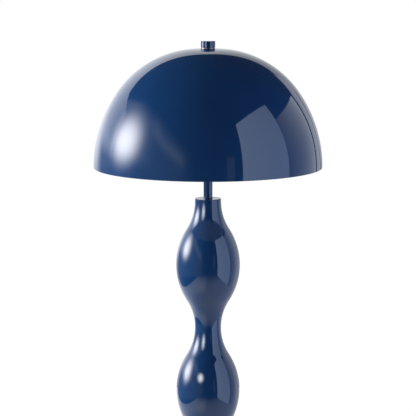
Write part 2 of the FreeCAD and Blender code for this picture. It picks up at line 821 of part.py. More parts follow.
def make_harp_swivel():
    plate_underside = "harp_top - harp_plate_thickness - end_clearance"
    turned(
        "harp_swivel",
        [
            ("0", f"{plate_underside} - swivel_rivet_height"),
            ("swivel_rivet_radius", f"{plate_underside} - swivel_rivet_height"),
            ("swivel_rivet_radius", plate_underside),
            ("stud_radius", plate_underside),
            ("stud_radius", "harp_top"),
            ("swivel_disc_radius", "harp_top"),
            ("swivel_disc_radius", "swivel_top"),
            ("stud_radius", "swivel_top"),
            ("stud_radius", "stud_top - stud_chamfer"),
            ("stud_radius - stud_chamfer", "stud_top"),
            ("0", "stud_top"),
        ],
    )


# Shade and finial


def shade_side(inset):
    """The shade's outline from the edge of its flat middle down to the rim."""
    crown_arc = f"(crown_arc_radius - {inset})"
    dome_arc = f"(dome_arc_radius - {inset})"
    skirt_arc = f"(skirt_arc_radius - {inset})"
    return [
        (
            f"{crown_arc} * sin(crown_angle)",
            f"crown_centre + {crown_arc} * cos(crown_angle)",
            "0",
            "crown_centre",
            crown_arc,
        ),
        (
            f"dome_centre_out + {dome_arc} * sin(dome_angle)",
            f"dome_centre + {dome_arc} * cos(dome_angle)",
            "dome_centre_out",
            "dome_centre",
            dome_arc,
        ),
        (
            f"skirt_centre_out + {skirt_arc} * cos(hem_turn)",
            f"rim_height + {skirt_arc} * sin(hem_turn)",
            "skirt_centre_out",
            "rim_height",
            skirt_arc,
        ),
    ]


def make_shade():
    outside = shade_side("0")
    inside = shade_side("shade_wall")
    outer_rim = ("rim_radius", "rim_height", "skirt_centre_out", "rim_height", "skirt_arc_radius")
    dome_end = inside[1]
    crown_end = inside[0]
    inner_arc = "(crown_arc_radius - shade_wall)"
    inner_start = f"sqrt({inner_arc} ^ 2 - (shade_inner_top - crown_centre) ^ 2)"
    turned(
        "shade",
        [
            ("shade_hole_radius", "shade_top"),
            ("shade_seat_radius", "shade_top"),
            outside[0],
            outside[1],
            outer_rim,
            ("rim_radius - hem_width", "rim_height"),
            ("rim_radius - hem_width", "rim_height + hem_height"),
            inside[2][:2],
            (*dome_end[:2], *inside[2][2:]),
            (*crown_end[:2], *dome_end[2:]),
            (inner_start, "shade_inner_top", *crown_end[2:]),
            ("shade_hole_radius", "shade_inner_top"),
        ],
    )


def make_finial():
    insert_top = "knob_low + insert_depth"
    flare_low = "shade_top + insert_flare_recess"
    flare_top = f"{flare_low} + insert_flare_height"
    washer_bore = "insert_neck_radius + running_clearance"
    washer_recess = "insert_flare_radius + end_clearance"
    turned(
        "finial_washer",
        [
            (washer_recess, "shade_top"),
            ("finial_washer_radius", "shade_top"),
            ("finial_washer_radius", "knob_low"),
            (washer_bore, "knob_low"),
            (washer_bore, flare_top),
            (washer_recess, flare_top),
        ],
    )
    turned(
        "finial_insert",
        [
            ("stud_radius + thread_clearance", flare_low),
            ("insert_flare_radius", flare_low),
            ("insert_flare_radius", f"{flare_top} - washer_play"),
            ("insert_neck_radius", f"{flare_top} - washer_play"),
            ("insert_neck_radius", "knob_low"),
            ("insert_radius", "knob_low"),
            ("insert_radius", insert_top),
            ("stud_radius + thread_clearance", insert_top),
        ],
    )
    knob_top = "knob_low + finial_height"
    turned(
        "finial_knob",
        [
            ("insert_radius", "knob_low"),
            ("finial_radius - finial_chamfer", "knob_low"),
            ("finial_radius", "knob_low + finial_chamfer"),
            ("finial_radius", f"{knob_top} - finial_chamfer"),
            ("finial_radius - finial_chamfer", knob_top),
            ("0", knob_top),
            ("0", insert_top),
            ("insert_radius", insert_top),
        ],
    )


# Lamp socket and switch


def make_socket_cap():
    body = turned(
        "socket_cap",
        [
            ("pipe_radius", "socket_low"),
            ("hub_radius", "socket_low"),
            ("hub_radius", "cap_cone_low"),
            ("socket_cap_radius", "cap_cone_top"),
            ("socket_cap_radius", "cap_rim_top"),
            ("socket_cap_radius - socket_cap_wall", "cap_rim_top"),
            ("socket_cap_radius - socket_cap_wall", "cap_cone_top"),
            ("pipe_radius", "cap_cone_low + socket_cap_floor"),
        ],
    )
    thread = new_sketch(body)
    draw_circle(thread, "0", "socket_low + hub_height / 2", "set_screw_radius")
    pocket(body, thread, "hub_radius + cut_past", reverse=True)


def make_set_screw():
    outer_end = "pipe_radius + set_screw_length"
    body = disc("socket_set_screw", "set_screw_radius", "pipe_radius", outer_end)
    lay_towards_front(body)
    place(body, z="socket_low + hub_height / 2")


def make_socket_shell():
    bead_radius = "shell_radius + socket_shell_wall"
    body = turned(
        "socket_shell",
        [
            ("shell_radius - socket_shell_wall", "cap_cone_top"),
            ("shell_radius", "cap_cone_top"),
            ("shell_radius", "shell_top - 2 * shell_bead_height"),
            (bead_radius, "shell_top - shell_bead_height"),
            (bead_radius, "shell_top"),
            ("shell_radius - socket_shell_wall", "shell_top"),
        ],
    )
    hole = new_sketch(body)
    draw_circle(hole, "0", "switch_axis", "switch_hole_radius")
    pocket(body, hole, "shell_radius + cut_past", reverse=True)


def make_socket_liner():
    top = "shell_top - shell_bead_height"
    body = ring("socket_liner", "liner_bore", "liner_radius", "cap_cone_top", top)
    hole = new_sketch(body)
    draw_circle(hole, "0", "switch_axis", "switch_hole_radius")
    pocket(body, hole, "shell_radius + cut_past", reverse=True)


def make_socket_core():
    flange_top = "cap_cone_top + core_flange_height"
    body = turned(
        "socket_core",
        [
            ("0", "cap_cone_top"),
            ("liner_bore - socket_fit", "cap_cone_top"),
            ("liner_bore - socket_fit", flange_top),
            ("socket_core_radius", flange_top),
            ("socket_core_radius", "core_top"),
            ("contact_boss_radius", "core_top"),
            ("contact_boss_radius", "core_top + contact_boss_height"),
            ("0", "core_top + contact_boss_height"),
        ],
    )
    hole = new_sketch(body)
    draw_circle(hole, "0", "switch_axis", "switch_shaft_radius + running_clearance")
    pocket(body, hole, "socket_core_radius + cut_past", reverse=True)


def make_terminal_screws():
    body = new_body("terminal_screws")
    body.AllowCompound = True
    face = new_sketch(body, "YZ_Plane", "socket_core_radius")
    draw_circle(face, "0", "core_top - terminal_drop", "terminal_radius")
    head = pad(body, face, "terminal_height")
    other = body.newObject("PartDesign::Mirrored", "terminal_other_side")
    other.Originals = [head]
    other.MirrorPlane = (origin_feature(body, "YZ_Plane"), [""])
    body.Tip = other


def make_screw_shell():
    outside = "screw_shell_radius + screw_shell_wall"
    turned(
        "screw_shell",
        [
            ("contact_boss_radius", "core_top"),
            (outside, "core_top"),
            (outside, "core_top + screw_shell_length"),
            ("screw_shell_radius", "core_top + screw_shell_length"),
            ("screw_shell_radius", "core_top + screw_shell_wall"),
            ("contact_boss_radius", "core_top + screw_shell_wall"),
        ],
    )


def make_switch():
    knob_end = "knob_start + switch_knob_length"
    shaft_end = f"{knob_end} - switch_knob_end"
    shaft = disc("switch_shaft", "switch_shaft_radius", "switch_depth + loose_gap", shaft_end)
    knob = turned(
        "switch_knob",
        [
            ("switch_shaft_radius", "knob_start"),
            ("switch_knob_neck", "knob_start"),
            ("switch_knob_radius", "knob_start + switch_knob_taper"),
            ("switch_knob_radius", f"{knob_end} - switch_knob_chamfer"),
            ("switch_knob_radius - switch_knob_chamfer", knob_end),
            ("0", knob_end),
            ("0", shaft_end),
            ("switch_shaft_radius", shaft_end),
        ],
    )
    for body in (shaft, knob):
        lay_towards_front(body)
        place(body, z="switch_axis")


def make_socket():
    make_socket_cap()
    make_set_screw()
    make_socket_core()
    make_terminal_screws()
    make_screw_shell()
    disc("centre_contact", "contact_radius", "core_top + contact_boss_height", "contact_top")
    make_socket_liner()
    make_socket_shell()
    make_switch()


# Bulb


def make_bulb():
    disc("bulb_tip", "bulb_tip_radius", "contact_top", "tip_top")
    turned(
        "bulb_insulator",
        [
            ("0", "tip_top"),
            ("bulb_tip_radius + bulb_insulator_step", "tip_top"),
            ("bulb_insulator_radius", "insulator_top"),
            ("0", "insulator_top"),
        ],
    )
    cap_inside = "bulb_cap_radius - bulb_cap_wall"
    lip_low = "insulator_top - bulb_cap_lip"
    shoulder_top = "insulator_top + bulb_cap_shoulder"
    turned(
        "bulb_cap",
        [
            ("bulb_insulator_radius", lip_low),
            ("bulb_insulator_radius + bulb_cap_lip", lip_low),
            ("bulb_cap_radius", shoulder_top),
            ("bulb_cap_radius", "bulb_cap_top"),
            (cap_inside, "bulb_cap_top"),
            (cap_inside, f"{shoulder_top} + bulb_cap_wall / 2"),
            ("bulb_insulator_radius", "insulator_top"),
        ],
    )
    inside_rim = "bulb_housing_rim - bulb_wall"
    plug_inside = f"{cap_inside} - bulb_wall"
    plug_low = "bulb_cap_top - housing_plug"
    lip_top = "bulb_cap_top + housing_lip_height"
    board_top = "globe_low - led_board_drop"
    board_low = f"{board_top} - led_board_thickness"
    turned(
        "bulb_housing",
        [
            (plug_inside, plug_low),
            (cap_inside, plug_low),
            (cap_inside, "bulb_cap_top"),
            ("bulb_cap_radius + housing_lip", "bulb_cap_top"),
            ("bulb_cap_radius + 2 * housing_lip", lip_top),
            ("bulb_housing_rim", "globe_low"),
            (inside_rim, "globe_low"),
            (inside_rim, board_low),
            (plug_inside, f"{lip_top} + bulb_wall"),
        ],
    )
    disc("led_board", inside_rim, board_low, board_top)

    def one(body):
        sketch = new_sketch(body, "XY_Plane", board_top)
        near = "led_circle_radius - led_side / 2"
        far = "led_circle_radius + led_side / 2"
        draw_box(sketch, near, far, "-led_side / 2", "led_side / 2")
        return [pad(body, sketch, "led_thickness")]

    polar_group("led_chips", "led_count", one)
    inner_globe = "(bulb_radius - bulb_wall)"
    mouth = f"sqrt({inner_globe} ^ 2 - (globe_centre - globe_low) ^ 2)"
    turned(
        "bulb_globe",
        [
            ("bulb_housing_rim", "globe_low"),
            ("bulb_radius", "globe_centre", "0", "globe_centre", "bulb_radius"),
            ("0", "globe_centre + bulb_radius", "0", "globe_centre", "bulb_radius"),
            ("0", f"globe_centre + {inner_globe}"),
            (inner_globe, "globe_centre", "0", "globe_centre", inner_globe),
            (mouth, "globe_low", "0", "globe_centre", inner_globe),
        ],
    )


def make_lamp():
    make_base()
    make_column()
    make_harp_saddle()
    make_hex_nut("saddle_nut", "saddle_nut_flats", "saddle_top", "saddle_nut_thickness")
    make_socket()
    make_bulb()
    make_harp()
    make_ferrules()
    make_harp_swivel()
    make_shade()
    ring("shade_boss", "shade_hole_radius", "boss_radius", "swivel_top", "shade_inner_top")
    make_finial()


def check_document():
    for item in doc.Objects:
        if "Invalid" in item.State or "Error" in item.State:
            raise RuntimeError(f"{item.Label} did not compute")
    for body in subparts:
        if body.Shape.isNull() or not body.Shape.isValid():
            raise RuntimeError(f"{body.Label} has no valid shape")


make_lamp()
doc.recompute()
check_document()
os.makedirs("parts", exist_ok=True)
for body in subparts:
    body.Shape.exportStep(f"parts/{body.Label}.step")
print(len(subparts), "sub-parts written")
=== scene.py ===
import json
import math

import bmesh
import bpy
from mathutils import Matrix, Vector

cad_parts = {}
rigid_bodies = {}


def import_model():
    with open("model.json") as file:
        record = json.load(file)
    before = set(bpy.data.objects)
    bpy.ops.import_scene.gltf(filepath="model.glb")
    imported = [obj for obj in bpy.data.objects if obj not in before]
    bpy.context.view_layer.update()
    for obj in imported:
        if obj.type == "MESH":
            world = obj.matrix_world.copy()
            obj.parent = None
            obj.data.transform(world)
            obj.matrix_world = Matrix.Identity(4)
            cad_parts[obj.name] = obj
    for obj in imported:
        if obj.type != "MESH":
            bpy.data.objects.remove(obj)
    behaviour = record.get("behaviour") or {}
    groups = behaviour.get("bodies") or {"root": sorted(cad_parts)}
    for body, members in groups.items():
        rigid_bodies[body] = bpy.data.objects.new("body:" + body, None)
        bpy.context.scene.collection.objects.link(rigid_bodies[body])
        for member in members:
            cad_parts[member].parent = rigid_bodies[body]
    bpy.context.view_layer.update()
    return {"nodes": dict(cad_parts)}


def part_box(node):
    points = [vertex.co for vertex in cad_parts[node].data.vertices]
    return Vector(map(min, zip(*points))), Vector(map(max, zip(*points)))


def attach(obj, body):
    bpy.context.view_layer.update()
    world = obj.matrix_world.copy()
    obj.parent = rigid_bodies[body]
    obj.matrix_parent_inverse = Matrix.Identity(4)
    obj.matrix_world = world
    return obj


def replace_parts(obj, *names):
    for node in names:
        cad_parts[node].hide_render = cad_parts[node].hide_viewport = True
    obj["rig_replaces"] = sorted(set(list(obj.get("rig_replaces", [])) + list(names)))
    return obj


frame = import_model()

# Mushroom floor lamp. Sizes are in millimetres, as in the part's source, and meshes in metres.
# +Z is up, and the front, with the switch knob, is -Y.

MM = 0.001

FLOOR_GAP = 2
BASE_RADIUS = 140
BASE_HEIGHT = 30
BASE_EDGE = 10
BASE_SLOPE = math.radians(2.5)
BASE_FLAT = 30
BASE_WALL = 1.5
PAD_RADIUS = 9
PAD_HEIGHT = 3
PAD_HOLLOW = 0.35
PAD_CIRCLE = 108
SCREW_CIRCLE = 72
SCREW_HEAD = 4
SCREW_SHANK = 2
SCREW_TIP = 12
CORD_HEIGHT = 9.4
CORD_HOLE = 4.6
GROMMET_BORE = 3.25
GROMMET_FLANGE = 6

BULGE_RADIUS = 56.8
WAIST_RADIUS = 23.25
BULGE_PITCH = 229
BULGE_ARC = 121
COLUMN_WALL = 1.5
COLUMN_SEAM = 717
COLUMN_NECK = 1175
COLUMN_TOP = 1180
PIPE_HOLE = 5.05

STEM_RADIUS = 8
STEM_WALL = 1.2
SADDLE_LOW = 1226
SADDLE_TOP = 1227.6
SADDLE_THICK = 1.6
TANG_HEIGHT = 11
TANG_HALF_WIDTH = 1.75
TANG_START = 31.5
STRIP_HALF_WIDTH = 6
STRIP_END = 28
FOOT_OFFSET = 30
WIRE_RADIUS = 1.6
FOOT_TOP = 1254.6
HARP_TOP = 1441.1
HARP_HALF_WIDTH = 55
LOWER_BEND = 30
UPPER_BEND = 40
PLATE_THICK = 2.6
PLATE_END = 11.5
WIRE_START = 15
FERRULE_CENTRE = 31.25
FERRULE_BORE = 3.15
FERRULE_OUTSIDE = 3.95
FERRULE_HEIGHT = 12

SWIVEL_RADIUS = 12
SWIVEL_TOP = 1442.7
STUD_RADIUS = 3.15
STUD_CORE = 2.75
STUD_LENGTH = 11
STUD_PITCH = 0.94
STUD_TOP = 1454.7
SHADE_INNER_TOP = 1444.2
SHADE_TOP = 1445.7
SHADE_HOLE = 3.5
SHADE_SEAT = 14
RIM_HEIGHT = 1236.8
RIM_RADIUS = 202.22
HEM_WIDTH = 3.6
HEM_HEIGHT = 3
SHEET = 1.5
CROWN_ARC, CROWN_CENTRE, CROWN_END = 338, 1107.99, math.radians(5.3)
DOME_ARC, DOME_OUT, DOME_CENTRE, DOME_END = 178, 14.78, 1267.31, math.radians(55.6)
SKIRT_ARC, SKIRT_OUT = 232, -29.78

KNOB_RADIUS = 12.8
KNOB_LOW = 1447.2
KNOB_TOP = 1458.7
WASHER_RADIUS = 12.1
INSERT_RADIUS = 5

SOCKET_LOW = 1231.6
CAP_BORE = 4.9
CAP_HUB = 7.5
CAP_CONE_LOW = 1239.6
CAP_CONE_TOP = 1246.6
CAP_RIM_TOP = 1253.6
SHELL_RADIUS = 17.7
SHELL_WALL = 0.5
SHELL_TOP = 1293.6
CORE_TOP = 1268.6
SCREW_SHELL_RADIUS = 14.0
SCREW_SHELL_LENGTH = 23.4
SWITCH_AXIS = 1257.6
SWITCH_HOLE = 3
SWITCH_START = 20.7
SWITCH_LENGTH = 15
SWITCH_RIBS = 12

INSULATOR_TOP = 1275.4
BULB_CAP_TOP = 1295.4
BULB_CAP_RADIUS = 13.05
BULB_PITCH = 3.6
GLOBE_CENTRE = 1349.4
GLOBE_LOW = 1338.63
GLOBE_RADIUS = 30
GLOBE_WALL = 1.4
HOUSING_RIM = 28
HOUSING_WALL = 1.4

SIDEWAYS = math.pi / 2
FULL_TURN = 2 * math.pi
IN_DEGREES = 180 / math.pi


# Nodes


def new_node(tree, kind, **settings):
    node = tree.nodes.new(kind)
    for name, value in settings.items():
        setattr(node, name, value)
    return node


def feed(tree, socket, value):
    """Links an amount or a socket to a socket, or sets a plain value on it."""
    if isinstance(value, Amount):
        value = value.socket
    if isinstance(value, bpy.types.NodeSocket):
        tree.links.new(value, socket)
    else:
        socket.default_value = value


def worked(tree, kind, operation, *values):
    """What one node of this operation makes of the values."""
    node = new_node(tree, kind, operation=operation)
    for socket, value in zip(node.inputs, values):
        feed(tree, socket, value)
    return node.outputs[0]


def reckoning(operation, turned=False):
    """A method that adds one Math node. Turned, the amount itself is its last number."""

    def reckon(self, *others):
        values = (*others, self) if turned else (self, *others)
        return Amount(self.tree, worked(self.tree, "ShaderNodeMath", operation, *values))

    return reckon


class Amount:
    """A number that nodes work out. Sums with it are written as with plain numbers."""

    def __init__(self, tree, socket):
        self.tree = tree
        self.socket = socket

    __add__ = __radd__ = reckoning("ADD")
    __sub__, __rsub__ = reckoning("SUBTRACT"), reckoning("SUBTRACT", True)
    __mul__ = __rmul__ = reckoning("MULTIPLY")
    __truediv__ = reckoning("DIVIDE")
    __pow__, __rpow__ = reckoning("POWER"), reckoning("POWER", True)
    __abs__ = reckoning("ABSOLUTE")
    __lt__, __gt__ = reckoning("LESS_THAN"), reckoning("GREATER_THAN")
    at_least, at_most = reckoning("MAXIMUM"), reckoning("MINIMUM")
    is_about = reckoning("COMPARE")
    root, rounded, fraction = reckoning("SQRT"), reckoning("ROUND"), reckoning("FRACT")
    sine, cosine = reckoning("SINE"), reckoning("COSINE")
    arcsine, arctangent = reckoning("ARCSINE"), reckoning("ARCTAN2")


def coordinates(tree, kind="Object"):
    """The x, y and z of each point, or of each direction in a world."""
    place = tree.nodes.new("ShaderNodeTexCoord")
    split = tree.nodes.new("ShaderNodeSeparateXYZ")
    tree.links.new(place.outputs[kind], split.inputs[0])
    return [Amount(tree, part) for part in split.outputs]


def ranged(tree, value, start, end, low, high, easing="LINEAR"):
    """Runs from low to high while value runs from start to end."""
    node = new_node(tree, "ShaderNodeMapRange", interpolation_type=easing)
    feed(tree, node.inputs["Value"], value)
    for name, number in zip(("From Min", "From Max", "To Min", "To Max"), (start, end, low, high)):
        node.inputs[name].default_value = number
    return node.outputs["Result"]


# Finishes


class Finish:
    """A material with one shader, and short ways to add its nodes."""

    def __init__(self, name):
        self.material = bpy.data.materials.new(name)
        self.material.use_nodes = True
        self.tree = self.material.node_tree
        self.surface = self.tree.nodes["Principled BSDF"]

    def noise(self, place, scale, detail, rough=0.5):
        node = self.tree.nodes.new("ShaderNodeTexNoise")
        self.tree.links.new(place, node.inputs["Vector"])
        for name, number in (("Scale", scale), ("Detail", detail), ("Roughness", rough)):
            node.inputs[name].default_value = number
        return node.outputs["Fac"]

    def grain(self, scale, stretch=(1, 1, 1), detail=4, rough=0.5):
        """Noise over the piece, with scale in features per metre."""
        place = self.tree.nodes.new("ShaderNodeTexCoord")
        mapping = self.tree.nodes.new("ShaderNodeMapping")
        mapping.inputs["Scale"].default_value = stretch
        self.tree.links.new(place.outputs["Object"], mapping.inputs["Vector"])
        return self.noise(mapping.outputs["Vector"], scale, detail, rough)

    def turning_marks(self, across):
        """Fine rings round the lamp's axis, as a lathe or a polishing wheel leaves them."""
        x, y, z = coordinates(self.tree)
        line = self.tree.nodes.new("ShaderNodeCombineXYZ")
        feed(self.tree, line.inputs[0], (x * x + y * y).root())
        feed(self.tree, line.inputs[1], z)
        return self.noise(line.outputs[0], across, 3)

    def spread(self, value, low=0, high=1, start=0.3, end=0.7):
        """Spreads the middle of a noise out from low to high."""
        return ranged(self.tree, value, start, end, low, high)

    def two_tone(self, share, first, second):
        mix = new_node(self.tree, "ShaderNodeMix", data_type="RGBA")
        feed(self.tree, mix.inputs["Factor"], share)
        mix.inputs[6].default_value = (*first, 1)
        mix.inputs[7].default_value = (*second, 1)
        return mix.outputs[2]

    def raised(self, value, height, strength=1.0):
        bump = self.tree.nodes.new("ShaderNodeBump")
        bump.inputs["Strength"].default_value = strength
        bump.inputs["Distance"].default_value = height * MM
        feed(self.tree, bump.inputs["Height"], value)
        return bump.outputs["Normal"]

    def dressed(self, colour, rough, normal, **even):
        """Joins the shader's sockets, and sets the ones that are even all over."""
        for name, value in (("Base Color", colour), ("Roughness", rough), ("Normal", normal)):
            feed(self.tree, self.surface.inputs[name], value)
        for name, number in even.items():
            self.surface.inputs[name.replace("_", " ")].default_value = number
        return self.material


def lacquer():
    """Deep navy gloss lacquer: almost even in colour, with the faint waviness of sprayed paint."""
    paint = Finish("navy gloss lacquer")
    return paint.dressed(
        paint.two_tone(
            paint.spread(paint.grain(9, detail=2)),
            (0.0047, 0.0262, 0.0850),
            (0.0060, 0.0312, 0.0990),
        ),
        paint.spread(paint.grain(55), 0.028, 0.055),
        paint.raised(paint.grain(150, detail=2), 0.02, 0.06),
        IOR=1.5,
    )


def metal(name, pale, dark, rough, marks, wear=18):
    """Bare or plated metal with fine turning marks and a cloudy tarnish."""
    plate = Finish(name)
    rings = plate.turning_marks(marks)
    return plate.dressed(
        plate.two_tone(plate.spread(plate.grain(wear, detail=6)), pale, dark),
        plate.spread(rings, *rough),
        plate.raised(rings, 0.01, 0.3),
        Metallic=1,
    )


def moulded(name, pale, dark, rough, fine, height, gloss_grain=60):
    """Plastic, rubber, card or paint: two close tones, uneven gloss and a fine surface grain."""
    skin = Finish(name)
    return skin.dressed(
        skin.two_tone(skin.spread(skin.grain(30, detail=5)), pale, dark),
        skin.spread(skin.grain(gloss_grain), *rough),
        skin.raised(skin.grain(fine), height, 0.5),
    )


def cast_finish():
    """Raw casting: dark skin with lumps from the sand and specks of rust."""
    casting = Finish("raw casting")
    lumps = casting.grain(420, detail=8, rough=0.65)
    rust = casting.spread(casting.grain(70, detail=8, rough=0.7), 0, 1, 0.56, 0.72)
    return casting.dressed(
        casting.two_tone(rust, (0.035, 0.034, 0.033), (0.110, 0.045, 0.020)),
        casting.spread(lumps, 0.6, 0.9),
        casting.raised(lumps, 0.6, 0.7),
        Metallic=0.35,
    )


def card_finish():
    """Pressed fibre card, with fibres that lie up and down."""
    card = Finish("fibre card")
    fibres = card.grain(260, stretch=(6, 6, 1), detail=6)
    return card.dressed(
        card.two_tone(card.spread(fibres), (0.42, 0.29, 0.16), (0.60, 0.46, 0.30)),
        card.spread(fibres, 0.75, 0.92),
        card.raised(fibres, 0.08, 0.6),
    )


def frosted_finish():
    """Diffusing globe: white inside the wall, with a fine satin outside."""
    frost = Finish("frosted globe")
    fine = frost.grain(900, detail=3)
    return frost.dressed(
        frost.two_tone(frost.spread(frost.grain(25)), (0.80, 0.80, 0.77), (0.86, 0.86, 0.84)),
        frost.spread(fine, 0.32, 0.46),
        frost.raised(fine, 0.01, 0.3),
        Subsurface_Weight=0.35,
        Subsurface_Scale=0.004,
    )


FINISHES = {
    "navy_lacquer": lacquer(),
    "black_steel": moulded(
        "satin black paint", (0.014, 0.014, 0.015), (0.022, 0.022, 0.023), (0.38, 0.52), 900, 0.05
    ),
    "zinc_steel": metal(
        "zinc plate", (0.60, 0.62, 0.64), (0.50, 0.50, 0.46), (0.28, 0.42), 2600, 90
    ),
    "nickel_steel": metal(
        "nickel plate", (0.52, 0.49, 0.44), (0.44, 0.41, 0.36), (0.26, 0.38), 3000
    ),
    "cast_iron": cast_finish(),
    "rubber": moulded(
        "black rubber", (0.014, 0.014, 0.014), (0.024, 0.023, 0.022), (0.62, 0.80), 1400, 0.06
    ),
    "nylon": moulded(
        "natural nylon", (0.66, 0.64, 0.56), (0.74, 0.72, 0.65), (0.38, 0.52), 700, 0.03
    ),
    "phenolic": moulded(
        "dark moulding", (0.014, 0.011, 0.010), (0.026, 0.020, 0.017), (0.22, 0.36), 1100, 0.02
    ),
    "card": card_finish(),
    "brass": metal("brass", (0.80, 0.58, 0.26), (0.66, 0.45, 0.19), (0.17, 0.32), 2800, 40),
    "solder": metal("solder", (0.66, 0.66, 0.68), (0.48, 0.48, 0.50), (0.30, 0.50), 400, 900),
    "aluminium": metal("board plate", (0.82, 0.82, 0.83), (0.72, 0.72, 0.74), (0.24, 0.38), 2200),
    "bulb_black": moulded(
        "black glass", (0.008, 0.008, 0.009), (0.013, 0.013, 0.014), (0.06, 0.14), 500, 0.01
    ),
    "bulb_white": moulded(
        "white housing", (0.74, 0.74, 0.72), (0.79, 0.79, 0.77), (0.22, 0.34), 1000, 0.02
    ),
    "bulb_frost": frosted_finish(),
    "led_yellow": moulded(
        "phosphor", (0.72, 0.50, 0.05), (0.82, 0.60, 0.12), (0.28, 0.45), 2500, 0.02, 900
    ),
}
WHITE_COAT = moulded(
    "satin white coat", (0.58, 0.58, 0.58), (0.62, 0.62, 0.61), (0.40, 0.52), 700, 0.03
)
# A darker copy of the nickel plate, for the finial's washer alone: painted shade under the knob's
# overhang.
SHADED_WASHER_NICKEL = metal(
    "dull nickel plate", (0.27, 0.25, 0.22), (0.21, 0.19, 0.17), (0.30, 0.42), 3000
)


# Outlines, in millimetres from the axis and from the floor


def arc(out, up, radius, start, end, steps):
    """Points on an arc round (out, up). Angles are from straight up, towards the outside."""
    angles = [start + (end - start) * step / steps for step in range(steps + 1)]
    return [(out + radius * math.sin(angle), up + radius * math.cos(angle)) for angle in angles]


def eased(corners, closed=True, steps=5):
    """Rounds the corners given as (out, up, radius), and holds the flats beside them level. An
    easing takes less than half of the shorter flat, so that two of them fit on one."""
    points = []
    count = len(corners)
    for index, corner in enumerate(corners):
        here = Vector(corner[:2])
        at_end = not closed and index in (0, count - 1)
        if len(corner) == 2 or at_end:
            points.append(tuple(here))
            continue
        back = Vector(corners[index - 1][:2]) - here
        ahead = Vector(corners[(index + 1) % count][:2]) - here
        opening = back.angle(ahead)
        cut = min(corner[2] / math.tan(opening / 2), back.length * 0.45, ahead.length * 0.45)
        radius = cut * math.tan(opening / 2)
        back.normalize()
        ahead.normalize()
        middle = here + (back + ahead).normalized() * (radius / math.sin(opening / 2))
        first, last = here + back * cut, here + ahead * cut
        held = min(cut * 0.4, 0.2)
        points.append(tuple(first + back * held))
        sweep = math.pi - opening
        for step in range(steps + 1):
            share = math.sin(sweep * (1 - step / steps)), math.sin(sweep * step / steps)
            spoke = ((first - middle) * share[0] + (last - middle) * share[1]) / math.sin(sweep)
            points.append(tuple(middle + spoke))
        points.append(tuple(last + ahead * held))
    return points


def placed(name, data):
    """A new object in the scene."""
    item = bpy.data.objects.new(name, data)
    bpy.context.scene.collection.objects.link(item)
    return item


def smooth_faces(mesh, angle=35):
    mesh.shade_smooth()
    mesh.set_sharp_from_angle(angle=math.radians(angle))


def piece_from(build, name, angle=35):
    """An object from a bmesh with its doubles merged and its faces outwards."""
    bmesh.ops.remove_doubles(build, verts=build.verts, dist=0.5e-6)
    bmesh.ops.recalc_face_normals(build, faces=build.faces)
    mesh = bpy.data.meshes.new(name)
    build.to_mesh(mesh)
    build.free()
    smooth_faces(mesh, angle)
    return placed(name, mesh)


def turn(name, outline, around=96, place=Matrix.Identity(4), angle=35):
    """A solid of revolution. An outline that ends on the axis is closed there in one point."""
    build = bmesh.new()
    rings = []
    for out, up in outline:
        if out < 1e-6:
            rings.append([build.verts.new((0, 0, up * MM))] * around)
            continue
        ring = []
        for step in range(around):
            theta = FULL_TURN * step / around
            ring.append(
                build.verts.new((out * MM * math.cos(theta), out * MM * math.sin(theta), up * MM))
            )
        rings.append(ring)
    on_axis = outline[0][0] < 1e-6 and outline[-1][0] < 1e-6
    for index in range(len(rings) - 1 if on_axis else len(rings)):
        lower, upper = rings[index], rings[(index + 1) % len(rings)]
        for step in range(around):
            after = (step + 1) % around
            corners = []
            for corner in (lower[step], lower[after], upper[after], upper[step]):
                if corner not in corners:
                    corners.append(corner)
            if len(corners) > 2:
                build.faces.new(corners)
    build.transform(place)
    return piece_from(build, name, angle)


def loft(name, rings, angle=35):
    """A skin over rings of points in millimetres, with its ends closed."""
    build = bmesh.new()
    made = [[build.verts.new(Vector(point) * MM) for point in ring] for ring in rings]
    count = len(made[0])
    for ring, above in zip(made, made[1:]):
        for step in range(count):
            after = (step + 1) % count
            build.faces.new((ring[step], ring[after], above[after], above[step]))
    build.faces.new(made[0])
    build.faces.new(made[-1])
    return piece_from(build, name, angle)


def lying(height, degrees):
    """Turns a piece's axis from up to front or back, at a height."""
    lean = Matrix.Rotation(math.radians(degrees), 4, "X")
    return Matrix.Translation((0, 0, height * MM)) @ lean


def drill_bit(radius, start, end, around, place):
    return turn("drill", [(0, start), (radius, start), (radius, end), (0, end)], around, place)


def cut_away(piece, cutter):
    """Cuts one piece's shape out of another, and leaves a plain mesh."""
    change = piece.modifiers.new("cut", "BOOLEAN")
    change.operation = "DIFFERENCE"
    change.solver = "EXACT"
    change.object = cutter
    evaluated = piece.evaluated_get(bpy.context.evaluated_depsgraph_get())
    mesh = bpy.data.meshes.new_from_object(evaluated)
    mesh.name = piece.name
    piece.modifiers.clear()
    piece.data = mesh
    smooth_faces(mesh, 30)
    bpy.data.objects.remove(cutter)


def finished(piece, body, slot, *nodes):
    """Gives a piece its finish and its body, and says which solids it stands for."""
    piece.data.materials.clear()
    piece.data.materials.append(FINISHES[slot])
    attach(piece, body)
    if nodes:
        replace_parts(piece, *nodes)


def spun(name, body, slot, node, corners, around=96, place=Matrix.Identity(4), **easing):
    """A finished piece, turned to an outline of eased corners."""
    piece = turn(name, eased(corners, **easing), around, place)
    finished(piece, body, slot, node)
    return piece


# Geometry Nodes


